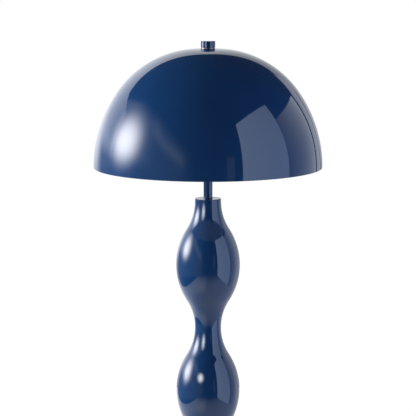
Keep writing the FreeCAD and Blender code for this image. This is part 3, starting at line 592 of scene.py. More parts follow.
class Rule:
    """A Geometry Nodes tree, with named inputs and short ways to add its nodes."""

    def __init__(self, name):
        self.tree = bpy.data.node_groups.new(name, "GeometryNodeTree")
        self.sockets = self.tree.interface
        self.sockets.new_socket("Geometry", in_out="OUTPUT", socket_type="NodeSocketGeometry")
        self.entry = self.tree.nodes.new("NodeGroupInput")
        self.inputs = {}

    def size(self, name, kind="NodeSocketFloat"):
        socket = self.sockets.new_socket(name, in_out="INPUT", socket_type=kind)
        self.inputs[name] = socket.identifier
        for out in self.entry.outputs:
            if out.identifier == socket.identifier:
                return Amount(self.tree, out)

    def sizes(self, *names):
        return [self.size(name) for name in names]

    def node(self, kind, **values):
        node = self.tree.nodes.new(kind)
        for name, value in values.items():
            feed(self.tree, node.inputs[name.replace("_", " ")], value)
        return node

    def points(self):
        """The x, y and z of each point."""
        place = self.node("GeometryNodeInputPosition")
        split = self.node("ShaderNodeSeparateXYZ", Vector=place.outputs[0])
        return [Amount(self.tree, part) for part in split.outputs]

    def end(self, geometry, finish):
        made = self.node("GeometryNodeRealizeInstances", Geometry=geometry)
        dressed = self.node("GeometryNodeSetMaterial", Geometry=made.outputs[0])
        dressed.inputs["Material"].default_value = finish
        last = self.tree.nodes.new("NodeGroupOutput")
        self.tree.links.new(dressed.outputs[0], last.inputs[0])

    def make(self, name, values, angle=35):
        """Runs the tree with these input values, and returns the plain piece."""
        piece = placed(name, bpy.data.meshes.new(name))
        change = piece.modifiers.new("rule", "NODES")
        change.node_group = self.tree
        for key, value in values.items():
            change[self.inputs[key]] = value
        evaluated = piece.evaluated_get(bpy.context.evaluated_depsgraph_get())
        result = bpy.data.meshes.new_from_object(evaluated)
        piece.modifiers.clear()
        build = bmesh.new()
        build.from_mesh(result)
        bpy.data.objects.remove(piece)
        return piece_from(build, name, angle)


def choose(test, when_true, when_false):
    """when_true where test is 1, and when_false where it is 0."""
    return test * (when_true - when_false) + when_false


def skin_grid(rule, around, rows):
    """A unit grid to be wrapped round the axis. Returns it, its angle and its row number."""
    grid = rule.node(
        "GeometryNodeMeshGrid", Size_X=1.0, Size_Y=1.0, Vertices_X=around + 1, Vertices_Y=rows + 1
    )
    x, y = rule.points()[:2]
    return grid.outputs[0], (x + 0.5) * FULL_TURN, ((y + 0.5) * rows).rounded()


def wrapped(rule, grid, angle, radius, height):
    """Puts each point of the grid at its radius and height, and closes the seams."""
    x, y = radius * angle.cosine(), radius * angle.sine()
    spot = rule.node("ShaderNodeCombineXYZ", X=x, Y=y, Z=height)
    moved = rule.node("GeometryNodeSetPosition", Geometry=grid, Position=spot.outputs[0])
    joined = rule.node("GeometryNodeMergeByDistance", Geometry=moved.outputs[0], Distance=1e-6)
    return joined.outputs[0]


def there_and_back(row, count):
    """Rows that run up the outside and down the inside: the row counted from the foot, and 1
    on the inside. The last row lies on the first, which closes the end."""
    down = (row - (count + 1)).at_most(count).at_least(0)
    past_top = row > count + 0.5
    before_end = row < count * 2 + 1.5
    return row.at_most(count) - down, past_top * before_end


def bulge_rule():
    """A spun shell of round bulges: the arc of each bulge runs into the arc of the waists."""
    rule = Rule("shell of bulges")
    foot, bulges, pitch, bulge, waist, bulge_arc = rule.sizes(
        "Foot height", "Bulges", "Pitch", "Bulge radius", "Waist radius", "Bulge arc"
    )
    wall, rings, around, foot_ease, top_ease = rule.sizes(
        "Wall", "Rings per bulge", "Points around", "Eased foot", "Eased top"
    )
    # The two arcs, and how far from a bulge's middle they meet
    half = pitch * 0.5
    rise = bulge - waist
    both_arcs = (half * half + rise * rise) / (rise * 2)
    waist_arc = both_arcs - bulge_arc
    meet = bulge_arc * half / both_arcs

    count = bulges * rings
    grid, angle, row = skin_grid(rule, around, count * 2 + 2)
    level, inside = there_and_back(row, count)
    at_foot = level < 0.5
    at_top = level > count - 0.5
    along = level * pitch / rings
    along = choose(level.is_about(1, 0.1), choose(foot_ease > 0, foot_ease, along), along)
    below_top = choose(top_ease > 0, bulges * pitch - top_ease, along)
    along = choose(level.is_about(count - 1, 0.1), below_top, along)

    off = abs((along / pitch).fraction() - 0.5) * pitch
    to_waist = half - off
    convex = bulge - bulge_arc + (bulge_arc * bulge_arc - off * off).root()
    waist_drop = (waist_arc * waist_arc - to_waist * to_waist).at_least(0).root()
    concave = waist + waist_arc - waist_drop
    radius = choose(off < meet, convex, concave) - inside * wall
    radius = radius - (1 - inside) * (at_foot * foot_ease + at_top * top_ease)
    rule.end(wrapped(rule, grid, angle, radius, foot + along), FINISHES["navy_lacquer"])
    return rule


def thread_rule():
    """A sleeve with a rolled thread: its wall waves in and out along a helix, and the wave
    dies away at both ends."""
    rule = Rule("threaded sleeve")
    foot, length, crest, depth, pitch, wall, rings, around = rule.sizes(
        "Foot height", "Length", "Crest radius", "Thread depth", "Thread pitch", "Wall",
        "Rings", "Points around",
    )
    grid, angle, row = skin_grid(rule, around, rings * 2 + 2)
    level, inside = there_and_back(row, rings)
    along = level / rings * length
    wave = (along / pitch * FULL_TURN - angle).cosine() * 0.5 + 0.5
    run_out = pitch * 0.6
    fade = (along / run_out).at_most((length - along) / run_out).at_least(0).at_most(1)
    radius = wave * fade * depth + (crest - depth) - inside * wall
    rule.end(wrapped(rule, grid, angle, radius, foot + along), FINISHES["brass"])
    return rule


def circle_rule():
    """Copies of one piece, evenly spaced on a circle round the axis."""
    rule = Rule("pieces on a circle")
    model = rule.size("Piece", "NodeSocketObject")
    copies = rule.size("Copies", "NodeSocketInt")
    radius = rule.size("Circle radius")
    circle = rule.node("GeometryNodeMeshCircle", Vertices=copies, Radius=radius)
    x, y = rule.points()[:2]
    facing = rule.node("ShaderNodeCombineXYZ", Z=y.arctangent(x))
    source = rule.node("GeometryNodeObjectInfo", Object=model)
    source.transform_space = "ORIGINAL"
    spread_out = rule.node(
        "GeometryNodeInstanceOnPoints",
        Points=circle.outputs[0],
        Instance=source.outputs["Geometry"],
        Rotation=facing.outputs[0],
    )
    rule.end(spread_out.outputs[0], FINISHES["rubber"])
    return rule


def on_circle(rule, model, name, copies, radius):
    made = rule.make(name, {"Piece": model, "Copies": copies, "Circle radius": radius * MM})
    bpy.data.objects.remove(model)
    return made


def threaded(rule, name, foot, length, crest, depth, pitch, wall, rings, around):
    """A threaded sleeve, in millimetres. Around is its number of points."""
    sizes = {
        "Foot height": foot * MM,
        "Length": length * MM,
        "Crest radius": crest * MM,
        "Thread depth": depth * MM,
        "Thread pitch": pitch * MM,
        "Wall": wall * MM,
        "Rings": float(rings),
        "Points around": float(around),
    }
    return rule.make(name, sizes, 60)


# Base


def make_base_cover():
    centre_out = BASE_RADIUS - BASE_EDGE
    run = centre_out + BASE_EDGE * math.sin(BASE_SLOPE) - BASE_FLAT
    centre_up = BASE_HEIGHT - run * math.tan(BASE_SLOPE) - BASE_EDGE * math.cos(BASE_SLOPE)
    steps = [run * step / 6 for step in range(6)]
    flank = [(BASE_FLAT + along, BASE_HEIGHT - along * math.tan(BASE_SLOPE)) for along in steps]
    outer = arc(centre_out, centre_up, BASE_EDGE, BASE_SLOPE, SIDEWAYS, 18)
    inner = arc(centre_out, centre_up, BASE_EDGE - BASE_WALL, SIDEWAYS, BASE_SLOPE, 10)
    lip = [(BASE_RADIUS, FLOOR_GAP, 0.5), (BASE_RADIUS - BASE_WALL, FLOOR_GAP, 0.5)]
    foot = eased([outer[-1], *lip, inner[0]], closed=False, steps=3)
    inside = [
        (BASE_FLAT, BASE_HEIGHT - BASE_WALL),
        (PIPE_HOLE, BASE_HEIGHT - BASE_WALL),
        (PIPE_HOLE, BASE_HEIGHT),
    ]
    cover = turn("base_cover_spun", flank + outer[:-1] + foot + inner[1:] + inside, 192)
    drill = drill_bit(CORD_HOLE, BASE_RADIUS - 12, BASE_RADIUS + 8, 48, lying(CORD_HEIGHT, -90))
    cut_away(cover, drill)
    finished(cover, "stand", "navy_lacquer", "base_cover")


def make_cord_grommet():
    low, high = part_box("cord_grommet")
    inner, outer = low.y / MM, high.y / MM
    wall_in, wall_out = inner + 1.4, outer - 1.4
    groove = CORD_HOLE - 0.05
    spun("cord_grommet_moulded", "stand", "rubber", "cord_grommet", [
        (GROMMET_BORE, inner, 0.5),
        (GROMMET_FLANGE, inner, 0.5),
        (GROMMET_FLANGE, wall_in, 0.2),
        (groove, wall_in),
        (groove, wall_out),
        (GROMMET_FLANGE, wall_out, 0.2),
        (GROMMET_FLANGE - 0.1, outer, 0.9),
        (GROMMET_BORE, outer, 0.7),
    ], 64, lying(CORD_HEIGHT, -90))


def make_foot_pads(rule):
    outline = eased([
        (0, PAD_HOLLOW),
        (PAD_RADIUS * 0.55, PAD_HOLLOW, 0.4),
        (PAD_RADIUS * 0.68, 0, 0.4),
        (PAD_RADIUS, 0, 0.8),
        (PAD_RADIUS - 0.3, PAD_HEIGHT, 0.3),
        (0, PAD_HEIGHT),
    ], closed=False)
    pads = on_circle(rule, turn("pad", outline, 64), "foot_pads_moulded", 5, PAD_CIRCLE)
    finished(pads, "stand", "rubber", "foot_pads")


def cross_recess(size, depth, top):
    """The point of a cross-head driver, to be cut out of a screw's head."""
    narrow, taper, start = size * 0.26, 0.45, top - 0.2
    build = bmesh.new()
    for wide, deep in ((size, narrow), (narrow, size)):
        corners = []
        for level, share in ((start, 1.0), (top + depth, taper)):
            for x, y in ((-1, -1), (1, -1), (1, 1), (-1, 1)):
                spot = (x * wide * share / 2 * MM, y * deep * share / 2 * MM, level * MM)
                corners.append(build.verts.new(spot))
        build.faces.new(corners[3::-1])
        build.faces.new(corners[4:])
        for side in range(4):
            after = (side + 1) % 4
            build.faces.new((corners[side], corners[after], corners[after + 4], corners[side + 4]))
    return piece_from(build, "driver")


def make_plate_screws(rule):
    outline = eased([
        (0, 1),
        (2.6, 1, 1.2),
        (SCREW_HEAD, 1.9, 0.8),
        (SCREW_HEAD, PAD_HEIGHT, 0.2),
        (SCREW_SHANK, PAD_HEIGHT, 0.2),
        (SCREW_SHANK, SCREW_TIP - 0.8, 0.2),
        (SCREW_SHANK - 0.7, SCREW_TIP),
        (0, SCREW_TIP),
    ], closed=False)
    screw = turn("screw", outline, 48)
    cut_away(screw, cross_recess(3.6, 1.3, 1))
    screws = on_circle(rule, screw, "plate_screws_driven", 3, SCREW_CIRCLE)
    finished(screws, "stand", "zinc_steel", "plate_screws")


# Column


def make_column():
    rule = bulge_rule()
    for end, foot, bulges, rings, foot_ease, top_ease in (
        ("lower", BASE_HEIGHT, 3.0, 64.0, 0.3, 0.25),
        ("upper", COLUMN_SEAM, 2.0, 88.0, 0.25, 0.0),
    ):
        sizes = {
            "Pitch": BULGE_PITCH * MM,
            "Bulge radius": BULGE_RADIUS * MM,
            "Waist radius": WAIST_RADIUS * MM,
            "Bulge arc": BULGE_ARC * MM,
            "Wall": COLUMN_WALL * MM,
            "Points around": 144.0,
            "Foot height": foot * MM,
            "Bulges": bulges,
            "Rings per bulge": rings,
            "Eased foot": foot_ease * MM,
            "Eased top": top_ease * MM,
        }
        shell = rule.make(f"column_{end}_spun", sizes)
        finished(shell, "stand", "navy_lacquer", f"column_{end}")
    lid_low = COLUMN_TOP - 3
    spun("column_lid_pressed", "stand", "navy_lacquer", "column_upper", [
        (WAIST_RADIUS, COLUMN_NECK),
        (WAIST_RADIUS, COLUMN_TOP, 1.0),
        (PIPE_HOLE, COLUMN_TOP, 0.2),
        (PIPE_HOLE, lid_low),
        (WAIST_RADIUS - COLUMN_WALL, lid_low, 0.5),
        (WAIST_RADIUS - COLUMN_WALL, COLUMN_NECK),
    ], 144, steps=8)


def make_stem_tube():
    bore = STEM_RADIUS - STEM_WALL
    spun("stem_tube_drawn", "stand", "navy_lacquer", "stem_tube", [
        (bore, COLUMN_TOP, 0.3),
        (STEM_RADIUS, COLUMN_TOP, 0.4),
        (STEM_RADIUS, SADDLE_LOW, 0.4),
        (bore, SADDLE_LOW, 0.3),
    ])


# Harp and its saddle


def bar_ring(centre, across, along, half_width, half_thick, power, count=28):
    """A ring of points round a bar: a circle at power 2, and nearly a rectangle above 6."""
    ring = []
    for step in range(count):
        theta = FULL_TURN * step / count
        cosine, sine = math.cos(theta), math.sin(theta)
        wide = math.copysign(abs(cosine) ** (2 / power), cosine) * half_width
        thick = math.copysign(abs(sine) ** (2 / power), sine) * half_thick
        ring.append(centre + across * wide + along * thick)
    return ring


def blend_in(value, start, end):
    share = min(max((value - start) / (end - start), 0), 1)
    return share * share * (3 - 2 * share)


def bent_line(corners, straight, step_angle=6):
    """Points along a line in the XZ plane whose corners, given as (x, z, radius), are rounded.
    Its straight parts are divided into steps of about the length straight."""
    points = []
    for index, (x, z, radius) in enumerate(corners):
        here = Vector((x, z))
        if index in (0, len(corners) - 1):
            points.append(here)
            continue
        back = (Vector(corners[index - 1][:2]) - here).normalized()
        ahead = (Vector(corners[index + 1][:2]) - here).normalized()
        bend = math.pi - back.angle(ahead)
        cut = radius * math.tan(bend / 2)
        middle = here + (back + ahead).normalized() * (radius / math.cos(bend / 2))
        first, last = here + back * cut - middle, here + ahead * cut - middle
        steps = max(2, round(math.degrees(bend) / step_angle))
        for step in range(steps + 1):
            share = step / steps
            spoke = first * math.sin(bend * (1 - share)) + last * math.sin(bend * share)
            points.append(middle + spoke / math.sin(bend))
    full = [points[0]]
    for point in points[1:]:
        start = full[-1].copy()
        parts = max(1, round((point - start).length / straight))
        for part in range(1, parts + 1):
            full.append(start + (point - start) * part / parts)
    return full


def both_sides(half):
    """A line that ends in the middle, and its mirror image before it."""
    return [Vector((-point.x, point.y)) for point in half] + half[-2::-1]


def swept(name, line, shape):
    """A bar along a line in the XZ plane. shape(point) gives half width, half thickness, power."""
    rings = []
    for index, point in enumerate(line):
        before, after = line[max(index - 1, 0)], line[min(index + 1, len(line) - 1)]
        forward = (after - before).normalized()
        outward = Vector((forward.y, 0, -forward.x))
        centre = Vector((point.x, 0, point.y))
        rings.append(bar_ring(centre, Vector((0, 1, 0)), outward, *shape(point)))
    return loft(name, rings, 40)


def make_harp():
    wire_height = HARP_TOP - PLATE_THICK / 2
    lean = math.acos(1 - (HARP_HALF_WIDTH - FOOT_OFFSET) / (2 * LOWER_BEND))
    bend = LOWER_BEND * math.tan(lean / 2)
    low_corner = FOOT_TOP + bend
    high_corner = FOOT_TOP + 2 * LOWER_BEND * math.sin(lean) - bend
    side = [
        (FOOT_OFFSET, SADDLE_TOP, 0),
        (FOOT_OFFSET, low_corner, LOWER_BEND),
        (HARP_HALF_WIDTH, high_corner, LOWER_BEND),
        (HARP_HALF_WIDTH, wire_height, UPPER_BEND),
        (0, wire_height, 0),
    ]

    def shape(point):
        """Round wire, flattened to a plate in the middle of the top."""
        on_top = point.y >= wire_height - 1
        flat = 1 - blend_in(abs(point.x), PLATE_END, WIRE_START) if on_top else 0
        width = WIRE_RADIUS + (STRIP_HALF_WIDTH - WIRE_RADIUS) * flat
        thick = WIRE_RADIUS + (PLATE_THICK / 2 - WIRE_RADIUS) * flat
        return width, thick, 2 + 5 * flat

    harp = swept("harp_bent", both_sides(bent_line(side, 2.5)), shape)
    finished(harp, "harp", "nickel_steel", "harp")


def make_saddle():
    strip_middle = (SADDLE_LOW + SADDLE_TOP) / 2
    tang_middle = FOOT_OFFSET + WIRE_RADIUS + 0.3 + SADDLE_THICK / 2
    tang_top = SADDLE_TOP + TANG_HEIGHT
    side = [(tang_middle, tang_top, 0), (tang_middle, strip_middle, 1.1), (0, strip_middle, 0)]

    def shape(point):
        """A flat strip that narrows to its tangs, which are rounded at the top."""
        shoulder = blend_in(abs(point.x), STRIP_END, TANG_START)
        narrowing = (STRIP_HALF_WIDTH - TANG_HALF_WIDTH) * shoulder
        rounding = blend_in(point.y, tang_top - 1.4, tang_top)
        return STRIP_HALF_WIDTH - narrowing - 0.5 * rounding, SADDLE_THICK / 2, 7

    saddle = swept("harp_saddle_pressed", both_sides(bent_line(side, 1.5)), shape)
    finished(saddle, "stand", "nickel_steel", "harp_saddle")


def make_ferrules():
    for body, sign in (("ferrule_left", -1), ("ferrule_right", 1)):
        spun(f"{body}_drawn", body, "nickel_steel", body, [
            (FERRULE_BORE, SADDLE_TOP, 0.25),
            (FERRULE_OUTSIDE, SADDLE_TOP, 0.35),
            (FERRULE_OUTSIDE, SADDLE_TOP + FERRULE_HEIGHT, 0.35),
            (FERRULE_BORE, SADDLE_TOP + FERRULE_HEIGHT, 0.25),
        ], 48, Matrix.Translation((sign * FERRULE_CENTRE * MM, 0, 0)))


def make_swivel(rule):
    underside = HARP_TOP - PLATE_THICK - 0.1
    spun("harp_swivel_turned", "harp_swivel", "nickel_steel", "harp_swivel", [
        (0, underside - 1.4),
        (2.5, underside - 1.4, 1.5),
        (5, underside - 0.7, 0.8),
        (5, underside, 0.2),
        (STUD_RADIUS, underside),
        (STUD_RADIUS, HARP_TOP),
        (SWIVEL_RADIUS, HARP_TOP, 0.5),
        (SWIVEL_RADIUS, SWIVEL_TOP, 0.5),
        (STUD_CORE, SWIVEL_TOP, 0.3),
        (STUD_CORE, STUD_TOP, 0.5),
        (0, STUD_TOP),
    ], 72, closed=False)
    thread = threaded(
        rule, "harp_swivel_thread", SWIVEL_TOP + 0.6, STUD_LENGTH, STUD_RADIUS,
        depth=0.35, pitch=STUD_PITCH, wall=0.5, rings=94, around=40,
    )
    finished(thread, "harp_swivel", "nickel_steel", "harp_swivel")


# Shade and finial


def shade_line(inset, end_angle):
    """The shade's three arcs from its flat middle to the rim, moved in by inset."""
    start = math.asin(SHADE_SEAT / CROWN_ARC)
    points = arc(0, CROWN_CENTRE, CROWN_ARC - inset, start, CROWN_END, 8)
    points += arc(DOME_OUT, DOME_CENTRE, DOME_ARC - inset, CROWN_END, DOME_END, 46)[1:]
    points += arc(SKIRT_OUT, RIM_HEIGHT, SKIRT_ARC - inset, DOME_END, end_angle, 30)[1:]
    return points


def end_above_hem(gap):
    """The angle at which the inside of the shade ends, a gap above the hem."""
    return SIDEWAYS - math.asin((HEM_HEIGHT + gap) / (SKIRT_ARC - SHEET))


def make_shade():
    outside = shade_line(0, SIDEWAYS - 0.004)
    inside = shade_line(SHEET, end_above_hem(0.6))
    hem = eased([
        outside[-1],
        (RIM_RADIUS, RIM_HEIGHT, 0.8),
        (RIM_RADIUS - HEM_WIDTH, RIM_HEIGHT, 1.0),
        (RIM_RADIUS - HEM_WIDTH, RIM_HEIGHT + HEM_HEIGHT, 0.9),
        (inside[-1][0], RIM_HEIGHT + HEM_HEIGHT, 0.2),
        inside[-1],
    ], closed=False)
    seat = math.sqrt((CROWN_ARC - SHEET) ** 2 - (SHADE_INNER_TOP - CROWN_CENTRE) ** 2)
    middle = [
        (seat, SHADE_INNER_TOP),
        (SHADE_HOLE, SHADE_INNER_TOP),
        (SHADE_HOLE, SHADE_TOP),
        (SHADE_SEAT - 1.5, SHADE_TOP),
    ]
    inside = [point for point in inside[-2::-1] if point[0] > seat + 0.5]
    shade = turn("shade_spun", outside[:-1] + hem + inside + middle, 256, angle=30)
    finished(shade, "shade", "navy_lacquer", "shade")


def make_inside_coat():
    """The thin white coat inside the shade, from the flat middle down to the hem."""
    angle = end_above_hem(0.3)
    skin, face = (
        [point for point in shade_line(SHEET + depth, angle) if point[0] > SHADE_SEAT + 4]
        for depth in (0.03, 0.2)
    )
    coat = turn("shade_inside_coat", skin + face[::-1], 192, angle=60)
    coat.data.materials.append(WHITE_COAT)
    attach(coat, "shade")
    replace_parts(coat, "shade")


def make_finial():
    lip = INSERT_RADIUS - 0.85
    washer = spun("finial_washer_turned", "finial_washer", "nickel_steel", "finial_washer", [
        (INSERT_RADIUS, SHADE_TOP),
        (WASHER_RADIUS, SHADE_TOP, 0.3),
        (WASHER_RADIUS, KNOB_LOW, 0.3),
        (lip, KNOB_LOW),
        (lip, KNOB_LOW - 0.9),
        (INSERT_RADIUS, KNOB_LOW - 0.9),
    ])
    # The washer takes the darker copy of the nickel plate: painted shade under the knob.
    washer.data.materials[0] = SHADED_WASHER_NICKEL
    spun("finial_knob_turned", "finial", "navy_lacquer", "finial_knob", [
        (INSERT_RADIUS, KNOB_LOW),
        (KNOB_RADIUS, KNOB_LOW, 0.45),
        (KNOB_RADIUS, KNOB_TOP, 0.6),
        (0, KNOB_TOP),
        (0, KNOB_TOP - 2),
        (INSERT_RADIUS, KNOB_TOP - 2),
    ], 128, steps=7)


# Lamp holder


def make_socket_cap():
    rim = SHELL_RADIUS + 0.9
    spun("socket_cap_spun", "stand", "brass", "socket_cap", [
        (CAP_BORE, SOCKET_LOW, 0.3),
        (CAP_HUB, SOCKET_LOW, 0.5),
        (CAP_HUB, CAP_CONE_LOW, 0.8),
        (rim - 1.5, CAP_CONE_TOP - 1.2, 3),
        (rim, CAP_CONE_TOP + 1.5, 1.5),
        (rim, CAP_RIM_TOP, 0.3),
        (rim - 0.8, CAP_RIM_TOP, 0.2),
        (rim - 0.8, CAP_CONE_TOP),
        (CAP_BORE, CAP_CONE_LOW + 1),
    ], steps=8)


def bead(height, radius, tall, proud, steps=8):
    """A half-round bead rolled into a spun wall."""
    angles = [math.pi * step / steps for step in range(steps + 1)]
    return [
        (radius + proud * math.sin(angle), height - tall / 2 * math.cos(angle))
        for angle in angles
    ]


def make_socket_shell():
    bore, edge = SHELL_RADIUS - SHELL_WALL, SHELL_RADIUS + 0.5
    outline = [(SHELL_RADIUS, CAP_CONE_TOP)]
    for height in (CAP_RIM_TOP + 12, SHELL_TOP - 8):
        outline += bead(height, SHELL_RADIUS, 2.4, 0.45)
    outline += eased([
        (SHELL_RADIUS, SHELL_TOP - 2),
        (edge, SHELL_TOP - 1, 0.4),
        (edge, SHELL_TOP, 0.25),
        (bore, SHELL_TOP, 0.2),
        (bore, SHELL_TOP - 3),
    ], closed=False)
    shell = turn("socket_shell_spun", outline + [(bore, CAP_CONE_TOP)], 112)
    cut_away(shell, drill_bit(SWITCH_HOLE, 8, 24, 40, lying(SWITCH_AXIS, 90)))
    finished(shell, "stand", "brass", "socket_shell")


def make_screw_shell(rule):
    sleeve = threaded(
        rule, "screw_shell_rolled", CORE_TOP + 0.6, SCREW_SHELL_LENGTH, SCREW_SHELL_RADIUS,
        depth=0.37, pitch=BULB_PITCH, wall=0.5, rings=72, around=96,
    )
    finished(sleeve, "stand", "brass", "screw_shell")
    spun("screw_shell_floor", "stand", "brass", "screw_shell", [
        (7, CORE_TOP),
        (13.4, CORE_TOP, 0.5),
        (13.63, CORE_TOP + 0.9, 0.3),
        (13.13, CORE_TOP + 0.9),
        (12.8, CORE_TOP + 0.5, 0.3),
        (7, CORE_TOP + 0.5),
    ])


def make_switch_knob():
    """A small moulded turn knob. Its finger ribs begin and end softly."""
    steps = [
        # How far along, radius, depth of the ribs
        (0, 4.2, 0),
        (0.4, 4.6, 0),
        (3.2, 5.5, 0.1),
        (4.2, 6, 0.5),
        (5, 6, 1),
        (SWITCH_LENGTH - 1.6, 6, 1),
        (SWITCH_LENGTH - 0.9, 5.75, 0.7),
        (SWITCH_LENGTH - 0.25, 5.2, 0.25),
        (SWITCH_LENGTH, 4.6, 0),
    ]
    around, rib_depth = 96, 0.55
    angles = [FULL_TURN * step / around for step in range(around)]
    rings = []
    for along, radius, ribbed in steps:
        ring = []
        for theta in angles:
            groove = (0.5 - 0.5 * math.cos(SWITCH_RIBS * theta)) ** 2
            out = radius - rib_depth * ribbed * groove
            height = SWITCH_AXIS + out * math.sin(theta)
            ring.append((out * math.cos(theta), -(SWITCH_START + along), height))
        rings.append(ring)
    finished(loft("switch_knob_moulded", rings, 50), "switch", "phenolic", "switch_knob")


# Bulb


def make_bulb(rule):
    thread_low = INSULATOR_TOP + 2.6
    length = BULB_CAP_TOP - thread_low
    cap = threaded(
        rule, "bulb_cap_rolled", thread_low, length, BULB_CAP_RADIUS,
        depth=0.75, pitch=BULB_PITCH, wall=0.4, rings=64, around=96,
    )
    finished(cap, "bulb", "nickel_steel", "bulb_cap")
    spun("bulb_cap_shoulder", "bulb", "nickel_steel", "bulb_cap", [
        (8.5, INSULATOR_TOP - 1, 0.2),
        (9.5, INSULATOR_TOP - 1, 0.5),
        (12.3, INSULATOR_TOP + 2.7, 0.8),
        (11.9, INSULATOR_TOP + 3),
        (8.5, INSULATOR_TOP - 0.4),
    ])
    plug = BULB_CAP_RADIUS - 1.8
    spun("bulb_housing_moulded", "bulb", "bulb_white", "bulb_housing", [
        (plug, BULB_CAP_TOP - 4),
        (BULB_CAP_RADIUS - 1.2, BULB_CAP_TOP - 4, 0.2),
        (BULB_CAP_RADIUS - 1.2, BULB_CAP_TOP, 0.1),
        (BULB_CAP_RADIUS + 0.6, BULB_CAP_TOP, 0.4),
        (BULB_CAP_RADIUS + 1.2, BULB_CAP_TOP + 3, 8),
        (HOUSING_RIM - 1.2, GLOBE_LOW - 5, 9),
        (HOUSING_RIM, GLOBE_LOW, 0.3),
        (HOUSING_RIM - HOUSING_WALL, GLOBE_LOW, 0.2),
        (HOUSING_RIM - HOUSING_WALL, GLOBE_LOW - 2.6),
        (plug, BULB_CAP_TOP + 4.4),
    ], steps=8)
    rim_angle = math.pi - math.asin(HOUSING_RIM / GLOBE_RADIUS)
    inner_radius = GLOBE_RADIUS - GLOBE_WALL
    inner_angle = math.acos((GLOBE_LOW - GLOBE_CENTRE) / inner_radius)
    outline = arc(0, GLOBE_CENTRE, GLOBE_RADIUS, 0, rim_angle, 44)
    outline += arc(0, GLOBE_CENTRE, inner_radius, inner_angle, 0, 32)
    finished(turn("bulb_globe_blown", outline), "bulb", "bulb_frost", "bulb_globe")


# Solids that keep the shape they have in the source


def dress_plain_solids():
    slots = {
        "black_steel": ("bottom_plate",),
        "cast_iron": ("base_weight",),
        "zinc_steel": (
            "lock_washer", "base_nut", "lower_pipe", "pipe_coupler", "upper_pipe",
            "socket_set_screw",
        ),
        "nylon": ("foot_bush", "seam_bush"),
        "nickel_steel": ("saddle_nut", "shade_boss"),
        "phenolic": ("socket_core",),
        "brass": ("terminal_screws", "centre_contact", "finial_insert", "switch_shaft"),
        "card": ("socket_liner",),
        "solder": ("bulb_tip",),
        "bulb_black": ("bulb_insulator",),
        "aluminium": ("led_board",),
        "led_yellow": ("led_chips",),
    }
    slot_of = {name: slot for slot, names in slots.items() for name in names}
    stood_for = {node for piece in bpy.data.objects for node in piece.get("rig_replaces", [])}
    for name, node in frame["nodes"].items():
        if name not in stood_for and name not in slot_of:
            raise RuntimeError(f"{name} has no finish")
        node.data.materials.clear()
        node.data.materials.append(FINISHES[slot_of.get(name, "navy_lacquer")])


# Studio

FLOOR_GLOW = 0.42
SWEEP_WHITE = (0.94, 0.96, 0.98)
WALL_GREY = (0.88, 0.93, 0.96)
PANEL_BLUE = (0.85, 1.05, 1.36)
DIM_BLUE = (0.85, 0.93, 1.0)
BOX_WHITE = (0.935, 0.922, 0.948)
GLINT_BEAM = math.radians(40)
BEAM_GAIN = 24.6  # how much brighter that beam is than a light without one


def ramp(value, start, end, low=0.0, high=1.0):
    """Eases from low at start to high at end. Start may lie above end."""
    if start > end:
        start, end, low, high = end, start, high, low
    return Amount(value.tree, ranged(value.tree, value, start, end, low, high, "SMOOTHSTEP"))


def window(value, low, high, soft, soft_high=None):
    """1 between low and high, easing to 0 over soft at both ends."""
    soft_high = soft if soft_high is None else soft_high
    opening = ramp(value, low - soft / 2, low + soft / 2)
    return opening * ramp(value, high + soft_high / 2, high - soft_high / 2)


def tinted(tree, colour, level):
    node = new_node(tree, "ShaderNodeVectorMath", operation="SCALE")
    node.inputs[0].default_value = colour
    feed(tree, node.inputs["Scale"], level)
    return node.outputs[0]


def blended(tree, share, first, second):
    mix = tree.nodes.new("ShaderNodeMixShader")
    for socket, value in zip(mix.inputs, (share, first, second)):
        feed(tree, socket, value)
    return mix.outputs[0]


def soft_box(tree, x, y, z):
    """How brightly the soft box shows in each direction: most in the middle, and fading towards
    its edges. Aim and tilt are where its middle lies, and the reaches are from there to the
    points of half the glow."""
    aim, tilt = math.radians(-94), math.radians(13.4)
    right_reach, left_reach, top_reach, low_reach = 0.249, -0.275, 0.222, -0.178
    slant, brightness, falloff = -0.19, 17.0, 1.29
    axes = (
        (math.cos(aim), math.sin(aim), 0),
        (-math.sin(aim) * math.sin(tilt), math.cos(aim) * math.sin(tilt), math.cos(tilt)),
        (math.sin(aim) * math.cos(tilt), -math.cos(aim) * math.cos(tilt), math.sin(tilt)),
    )
    right, up, ahead = (x * axis[0] + (y * axis[1] + z * axis[2]) for axis in axes)
    ahead = ahead.at_least(0.01)
    up = up / ahead
    right = up * slant + right / ahead
    right = (right / right_reach).at_least(right / left_reach)
    up = (up / top_reach).at_least(up / low_reach)
    off = right * right + up * up
    return tinted(tree, BOX_WHITE, 0.5 ** (off ** falloff) * brightness)


